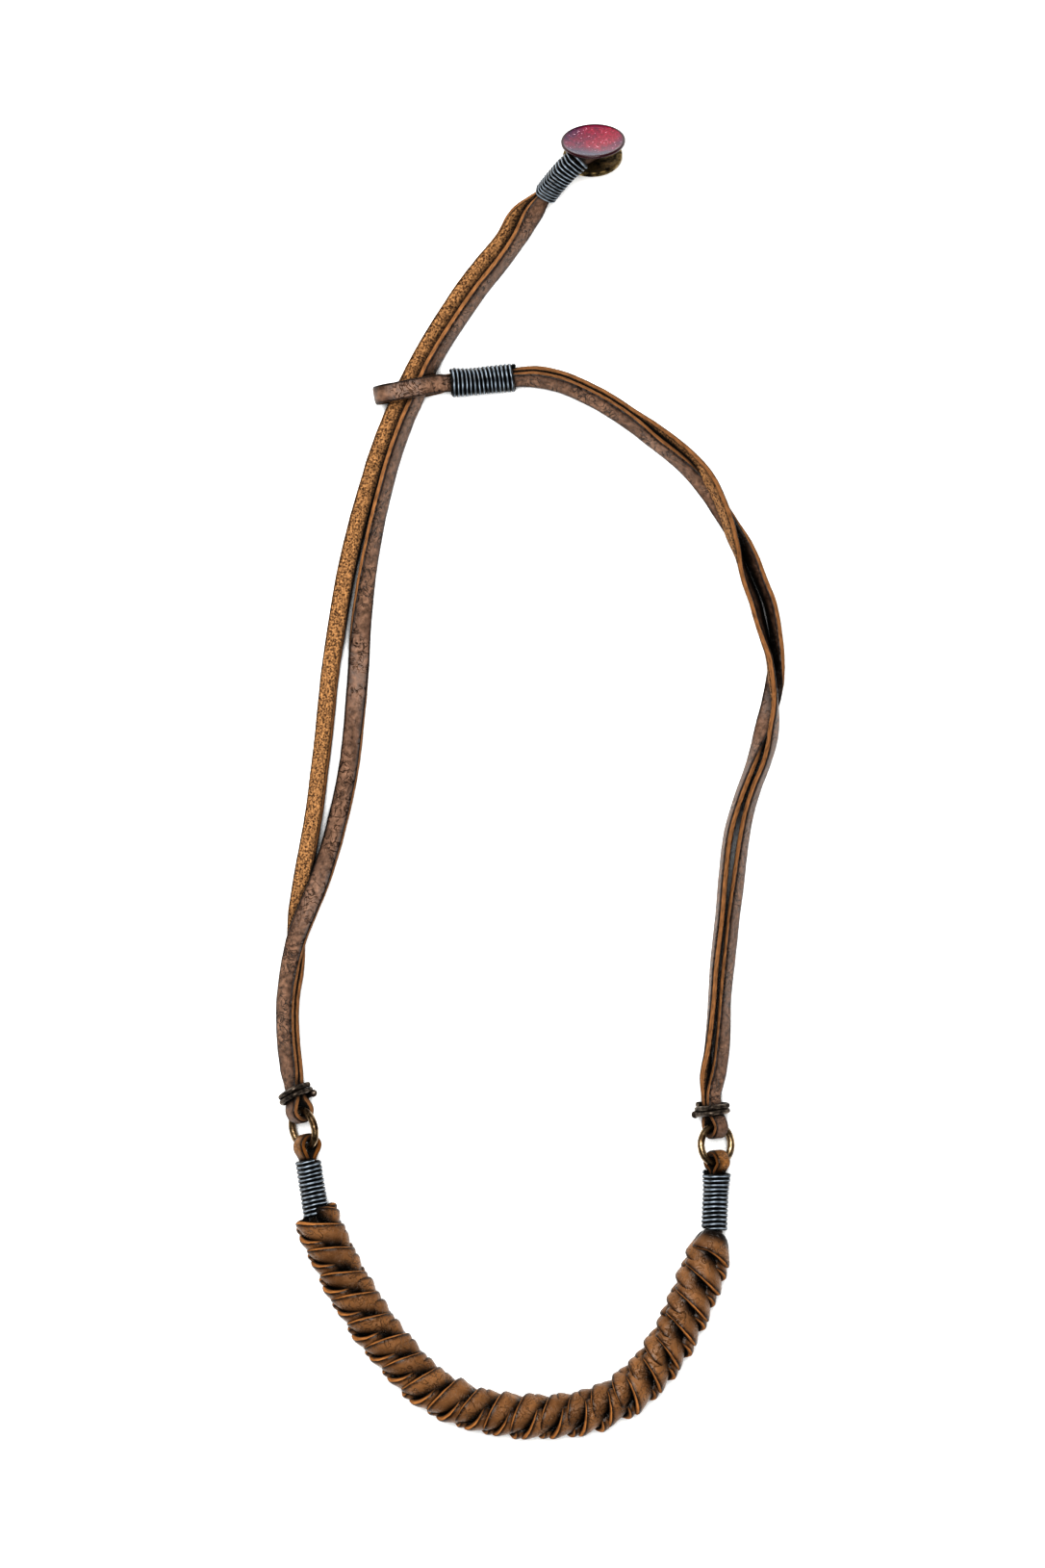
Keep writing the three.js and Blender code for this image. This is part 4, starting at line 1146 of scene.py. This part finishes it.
# %% The tree of the braid: skin and painted shade
radius = add(tree, MIX, [arch, sizes["Middle radius"], sizes["End radius"]])
radius = add(tree, MATH, [radius, chance.outputs["Y"]], "ADD")
radius = add(tree, MATH, [radius, level], "SUBTRACT")
squash = add(tree, "ShaderNodeCombineXYZ", [1.0, 1.0, sizes["Flatness"]])
squash = add(tree, VECTOR, [squash, outward], "MULTIPLY")
place = add(tree, VECTOR, [squash, radius, on_axis.outputs["Position"]], "MULTIPLY_ADD")
half_width = add(tree, MATH, [sizes["Width"], 0.5], "MULTIPLY")
half_thick = add(tree, MATH, [sizes["Thickness"], 0.5], "MULTIPLY")
edge = add(tree, VECTOR, [edge, half_width], "SCALE")
face = add(tree, VECTOR, [face, half_thick], "SCALE")
along = add(tree, MATH, [angle, sizes["Middle radius"]], "MULTIPLY")
along = add(tree, MATH, [band, GRAIN_STEP, along], "MULTIPLY_ADD")

points = add(tree, "GeometryNodeSetPosition", {"Geometry": points, "Position": place})
for name, value in (("edge", edge), ("face", face), ("outward", outward),
                    ("hub", on_axis.outputs["Position"])):
    points = add(tree, STORE, {"Geometry": points, "Name": name, "Value": value}, **VECTORS)
points = add(tree, STORE, {"Geometry": points, "Name": "along", "Value": along})
curves = add(tree, "GeometryNodePointsToCurves", {"Points": points, "Curve Group ID": band,
                                                  "Weight": step})
body = add_skin(tree, curves, sizes)

outward, hub = [add(tree, READ, [name], **VECTORS) for name in ("outward", "hub")]
# Painted shade: black where the surface lies nearest the braid's middle, at the bottom of the gaps
# between bands.
height = add(tree, "GeometryNodeInputPosition")
height = add(tree, VECTOR, [height, hub], "SUBTRACT")
height = add(tree, VECTOR, [height, outward], "DOT_PRODUCT")
gap_shade = add(tree, RANGE, [height.outputs["Value"], sizes["Unshaded above"], sizes["Black below"]])
body = add(tree, STORE, {"Geometry": body, "Name": "gap_shade", "Value": gap_shade})
braid_tree = end_tree(tree, body, sizes["Material"], result)

# %% [markdown]
# Sizes are given in metres and angles in radians, as the tree's sockets take them.
# Twenty-two knots of four bands fill the way between the two whippings.

# %% The braid
BRAID_HEIGHT = 3.62
AXIS_STEPS = 12
BRAID_SIZES = {
    "Knots": 22, "Columns": 4, "Steps": 25,
    "Reach": math.radians(102), "Advance": 1.5 * MM,
    "Middle radius": 2.75 * MM, "End radius": 1.3 * MM, "Side drop": 1.8 * MM,
    "Flatness": 0.87,
    "Middle roll": math.radians(22), "End roll": math.radians(30),
    "Width": 3.9 * MM, "Thickness": 1.3 * MM,
    "Unshaded above": 3.4 * MM, "Black below": 2.4 * MM,
    "First turn": math.radians(188), "Whole turn": math.radians(62),
    "Unevenness": 0.2 * MM, "Seed": 3,
    "Sides": 20, "Squareness": 0.55, "Lump height": 0.2 * MM, "Lump size": 2.0 * MM,
    "Material": braid_leather,
}
axis_stations = [(Vector((x, y, BRAID_HEIGHT)), UP, 1.0, 1.0) for x, y in BRAID_ROUTE]
axis_guide = guide("braid", smooth(axis_stations, AXIS_STEPS, False), False)
keep("braid", axis_guide, braid_tree, BRAID_SIZES, "braid_leather",
     "braid_lace_a", "braid_lace_b")

# %% [markdown]
# ## Thread whippings
#
# A whipping is one thread wound tight round two laces, turn beside turn. The guide
# line carries half the width and half the depth of the pair, so the tree only has to
# go round it in a squared circle while it moves on by one thread for each turn. A
# little noise keeps the turns from being perfect. A sleeve with ribs in its bump
# would be quicker, but its outline would be smooth, and that of thread is notched.

# %% The tree of a whipping: its turns
WANDER = 0.7      # mm, the size of the noise that moves the turns

tree, sizes, result = start_tree("whipping", {
    "Turns": "Float", "Points in a turn": "Int", "Thread radius": "Float", "Roundness": "Float",
    "Unevenness": "Float", "Material": "Material"})
line = add(tree, "GeometryNodeMeshToCurve", [sizes["Geometry"]])
point_count = add(tree, MATH, [sizes["Turns"], sizes["Points in a turn"]], "MULTIPLY")
points = add(tree, "GeometryNodePoints", [point_count])
index = add(tree, "GeometryNodeInputIndex")
factor = add(tree, MATH, [index, point_count], "DIVIDE")
turn = add(tree, MATH, [index, sizes["Points in a turn"]], "DIVIDE")
turn = add(tree, MATH, [turn, math.tau], "MULTIPLY")
offsets = []
for operation, name in (("COSINE", "edge"), ("SINE", "face")):
    wave = add(tree, MATH, [turn], operation)
    share = squared(tree, wave, sizes["Roundness"])
    reach = add(tree, READ, [name], **VECTORS)
    on_line = add(tree, "GeometryNodeSampleCurve", {"Curves": line, "Value": reach,
                                                    "Factor": factor}, mode="FACTOR", **VECTORS)
    offsets.append(add(tree, VECTOR, [on_line, share], "SCALE"))
place = add(tree, VECTOR, [on_line.outputs["Position"], offsets[0]], "ADD")
place = add(tree, VECTOR, [place, offsets[1]], "ADD")
noise = add(tree, NOISE, {"Vector": place, "Scale": 1 / (WANDER * MM)})
noise = add(tree, VECTOR, [noise.outputs["Color"], (0.5,) * 3], "SUBTRACT")
place = add(tree, VECTOR, [noise, sizes["Unevenness"], place], "MULTIPLY_ADD")
points = add(tree, "GeometryNodeSetPosition", {"Geometry": points, "Position": place})
outward = add(tree, VECTOR, [offsets[0], offsets[1]], "ADD")
outward = add(tree, VECTOR, [outward], "NORMALIZE")
here = add(tree, "GeometryNodeInputPosition")
for name, value in (("outward", outward), ("middle", here)):
    points = add(tree, STORE, {"Geometry": points, "Name": name, "Value": value}, **VECTORS)
print("nodes so far:", len(tree.nodes))

# %% The tree of a whipping: from points to thread
THREAD_SIDES = 8

thread = add(tree, "GeometryNodePointsToCurves", {"Points": points})
spline = add(tree, "GeometryNodeSplineParameter")
length = spline.outputs["Length"]
thread = add(tree, STORE, {"Geometry": thread, "Name": "along", "Value": length})
body, corner = add_tube(tree, thread, THREAD_SIDES, sizes["Thread radius"])
body = add_lace(tree, body, corner["X"], corner["Y"])
outward, middle = [add(tree, READ, [name], **VECTORS) for name in ("outward", "middle")]
crown = add(tree, VECTOR, [here, middle], "SUBTRACT")
crown = add(tree, VECTOR, [crown, outward], "DOT_PRODUCT")
crown = add(tree, MATH, [crown.outputs["Value"], sizes["Thread radius"]], "DIVIDE")
body = add(tree, STORE, {"Geometry": body, "Name": "crown", "Value": crown})
coil_tree = end_tree(tree, body, sizes["Material"], result)

# %% [markdown]
# Thread is whipped on under the button, at the root of the loop and at both ends of
# the braid. Its thickness follows from the length of the whipping and the number of
# turns, so that the turns always touch.

# %% The four whippings
THREAD_OFF = 0.5     # mm, from the laces to the middle of the thread
BINDING_STEPS = 8
INTO_CAP = (8.0, 101.0, 8.5, 132)     # the button's thread goes on under its cap
WHIPPINGS = (
    # name, rows, section, turns, overlap of turns, growth at first and last row, CAD node
    ("button_thread", [INTO_CAP] + BUTTON_BINDING, BOUND, 15, 1.02, 0.0, 0.0, "button_whipping"),
    ("loop_thread", LOOP_BINDING, LOOP_BOUND, 15, 0.98, 0.2, 0.0, "loop_whipping"),
    ("left_thread", LEFT_CORE_BINDING, BOUND, 13, 0.98, 0.0, 0.0, "left_whipping"),
    ("right_thread", RIGHT_CORE_BINDING, BOUND, 13, 0.98, 0.0, 0.2, "right_whipping"),
)


def pair_stations(rows, section, off, first, last):
    """The middle of a held pair, with the whole pair's width and depth."""
    width, thick, gap = section
    points = [Vector(row[:3]) for row in rows]
    stations = []
    for i, (point, way, row) in enumerate(zip(points, directions(points), rows)):
        grown = 2 * (off + (first if i == 0 else 0.0) + (last if i == len(rows) - 1 else 0.0))
        stations.append((point, width_axis(way, row[3]), width + grown, 2 * thick + gap + grown))
    return stations


for name, rows, section, turns, overlap, first, last, node in WHIPPINGS:
    stations = smooth(pair_stations(rows, section, THREAD_OFF, first, last), BINDING_STEPS, False)
    length = sum((b[0] - a[0]).length for a, b in zip(stations, stations[1:]))
    sizes = {"Turns": float(turns), "Points in a turn": 32, "Roundness": 0.55,
             "Thread radius": length / turns / 2 * overlap * MM, "Unevenness": 0.14 * MM,
             "Material": waxed_thread}
    keep(name, guide(name, stations, False), coil_tree, sizes, "waxed_thread", node)

# %% [markdown]
# ## Wire ties, rings and the button
#
# The ties are two turns of dark wire, and one end is melted into a ball. The rings
# are brass wire, bent round and closed. Both are swept by the straps' tree: with a
# squareness of one, its circle stays a circle.

# %% Wire ties
TIE_RADIUS = 0.42
TIE_CLEAR = 0.28      # from the laces to the wire
TIE_PITCH = 0.86
TIE_TURNS = 2
TIE_BACK = 0.35       # how far the tie sits back from its row
TIE_STEPS = 5
BALL_RADIUS = 0.62
BALL_SECTIONS = (-0.75, -0.4, 0.0, 0.4, 0.75, 0.95)
ROUND = {"Sides": 16, "Squareness": 1.0, "Lump height": 0.06 * MM, "Lump size": 0.9 * MM}


def wire_tie(row, towards, tilt, first_corner):
    """Turns round the four corners of a held pair, and a ball on the last end."""
    width, thick, gap = TIED
    along = towards.normalized()
    edge = square_to(width_axis(along, row[3]), along)
    across = along.cross(edge)
    off = TIE_CLEAR + TIE_RADIUS
    outline = []
    for a, b, first in ((1, 1, 0), (-1, 1, 90), (-1, -1, 180), (1, -1, 270)):
        for turn in (20, 70):
            angle = math.radians(first + turn)
            outline.append((a * width / 2 + off * math.cos(angle),
                            b * (thick + gap / 2) + off * math.sin(angle)))
    stations = []
    for i in range(TIE_TURNS * len(outline)):
        a, b = outline[(i + first_corner) % len(outline)]
        advance = TIE_PITCH * (i / len(outline) - TIE_TURNS / 2) + tilt * a - TIE_BACK
        point = Vector(row[:3]) + edge * a + across * b + along * advance
        stations.append((point, along, 2 * TIE_RADIUS, 2 * TIE_RADIUS))
    onward = (stations[-1][0] - stations[-2][0]).normalized()
    ball = stations[-1][0] + onward * BALL_RADIUS
    wire = smooth(stations, TIE_STEPS, False)
    for part in BALL_SECTIONS:
        size = 2 * BALL_RADIUS * math.sqrt(1 - part * part)
        wire.append((ball + onward * part * BALL_RADIUS, along, size, size))
    return wire


for name, row, ring, tilt, corner, node in (
        ("left_tie", LEFT_TIE[1], LEFT_RING, -0.2, 7, "left_wire_tie"),
        ("right_tie", RIGHT_TIE[1], RIGHT_RING, 0.0, 1, "right_wire_tie")):
    wire = wire_tie(row, -ring[1], tilt, corner)
    keep(name, guide(name, wire, False), sweep_tree, {**ROUND, "Material": dark_wire},
         "dark_wire", node)

# %% [markdown]
# A ring's guide is a circle. Blender's own torus would be quicker, but wire that was
# bent by hand is a little uneven, and the tree's skin gives it that.

# %% Rings
RING_STEPS = 72


def ring_stations(ring):
    centre, along, edge = ring
    turns = [math.tau * i / RING_STEPS for i in range(RING_STEPS)]
    normal = along.cross(edge)
    return [(centre + (along * math.cos(t) + edge * math.sin(t)) * RING_RADIUS, normal,
             2 * RING_WIRE, 2 * RING_WIRE) for t in turns]


for name, ring in (("left_ring_wire", LEFT_RING), ("right_ring_wire", RIGHT_RING)):
    keep(name, guide(name, ring_stations(ring), True), sweep_tree,
         {**ROUND, "Lump height": 0.04 * MM, "Material": ring_brass}, "aged_brass", name[:-5])

# %% [markdown]
# The button is two turned pieces: a brass base with a neck, and a dished cap. A
# turned piece is a profile spun about its axis, so each is given as radii and
# heights, with small steps where a real edge is rounded over. The Screw modifier
# would spin it too, but here it is known which points came from which radius, and the
# enamel's attributes are filled in from that.

# %% Turned pieces
TURN_STEPS = 96


def turned_mesh(name, profile, foot, up):
    """Spins a profile of (radius, height) about up. It starts and ends on the axis."""
    to_place = Matrix.Translation(foot) @ UP.rotation_difference(up).to_matrix().to_4x4()
    body = bmesh.new()
    rings = []
    for radius, height in profile:
        if radius == 0:
            rings.append([body.verts.new(to_frame(to_place @ Vector((0, 0, height))))])
            continue
        ring = []
        for i in range(TURN_STEPS):
            turn = math.tau * i / TURN_STEPS
            spot = Vector((radius * math.cos(turn), radius * math.sin(turn), height))
            ring.append(body.verts.new(to_frame(to_place @ spot)))
        rings.append(ring)
    for lower, upper in zip(rings, rings[1:]):
        for i in range(TURN_STEPS):
            k = (i + 1) % TURN_STEPS
            corners = [lower[i % len(lower)], lower[k % len(lower)],
                       upper[k % len(upper)], upper[i % len(upper)]]
            body.faces.new(list(dict.fromkeys(corners)))
    bmesh.ops.recalc_face_normals(body, faces=body.faces)
    for face in body.faces:
        face.smooth = True
    mesh = bpy.data.meshes.new(name)
    body.to_mesh(mesh)
    body.free()
    return mesh


print("faces round a turned piece:", TURN_STEPS)

# %% The button's base
BASE_PROFILE = [
    (0, 0), (4.5, 0), (4.7, 0.06), (4.8, 0.2), (4.8, 0.72), (4.74, 0.85), (4.6, 0.9),
    (4.3, 0.88), (4.18, 0.8), (4.0, 0.62), (3.7, 0.58), (1.4, 0.6), (1.15, 0.68),
    (1.0, 0.9), (1.0, 3.3), (0, 3.3),
]
base_mesh = turned_mesh("button_back", BASE_PROFILE, BASE_FOOT, BASE_UP)
base_mesh.materials.append(base_brass)
place_piece("button_back", base_mesh, "aged_brass", "button_base")

# %% The button's cap
CAP_PROFILE = [
    (0, -0.9), (3.6, -0.9), (4.6, -0.66), (5.1, -0.48), (5.2, -0.4), (5.2, -0.12),
    (5.14, -0.03), (5.02, 0.0), (4.86, -0.01), (4.78, -0.06), (4.4, -0.13), (3.8, -0.24),
    (3.0, -0.37), (2.0, -0.48), (1.0, -0.54), (0, -0.56),
]
REFLECTION_WAY = Vector((-0.45, -0.9, 0))     # the side of the glass where a violet reflection is painted
cap_mesh = turned_mesh("button_face", CAP_PROFILE, CAP_RIM, CAP_UP)
cap_mesh.materials.append(red_enamel)
cap_radius = max(radius for radius, _ in CAP_PROFILE)
way_out = []
for radius, _ in CAP_PROFILE:
    way_out += [radius / cap_radius] * (TURN_STEPS if radius else 1)
cap_mesh.attributes.new("way_out", "FLOAT", "POINT").data.foreach_set("value", way_out)
# For the painted reflection: how far each point lies towards that side.
reflected_side = [(vertex.co - to_frame(CAP_RIM)).dot(REFLECTION_WAY) / (cap_radius * MM)
        for vertex in cap_mesh.vertices]
cap_mesh.attributes.new("reflected_side", "FLOAT", "POINT").data.foreach_set("value", reflected_side)
place_piece("button_face", cap_mesh, "red_enamel", "button_cap")
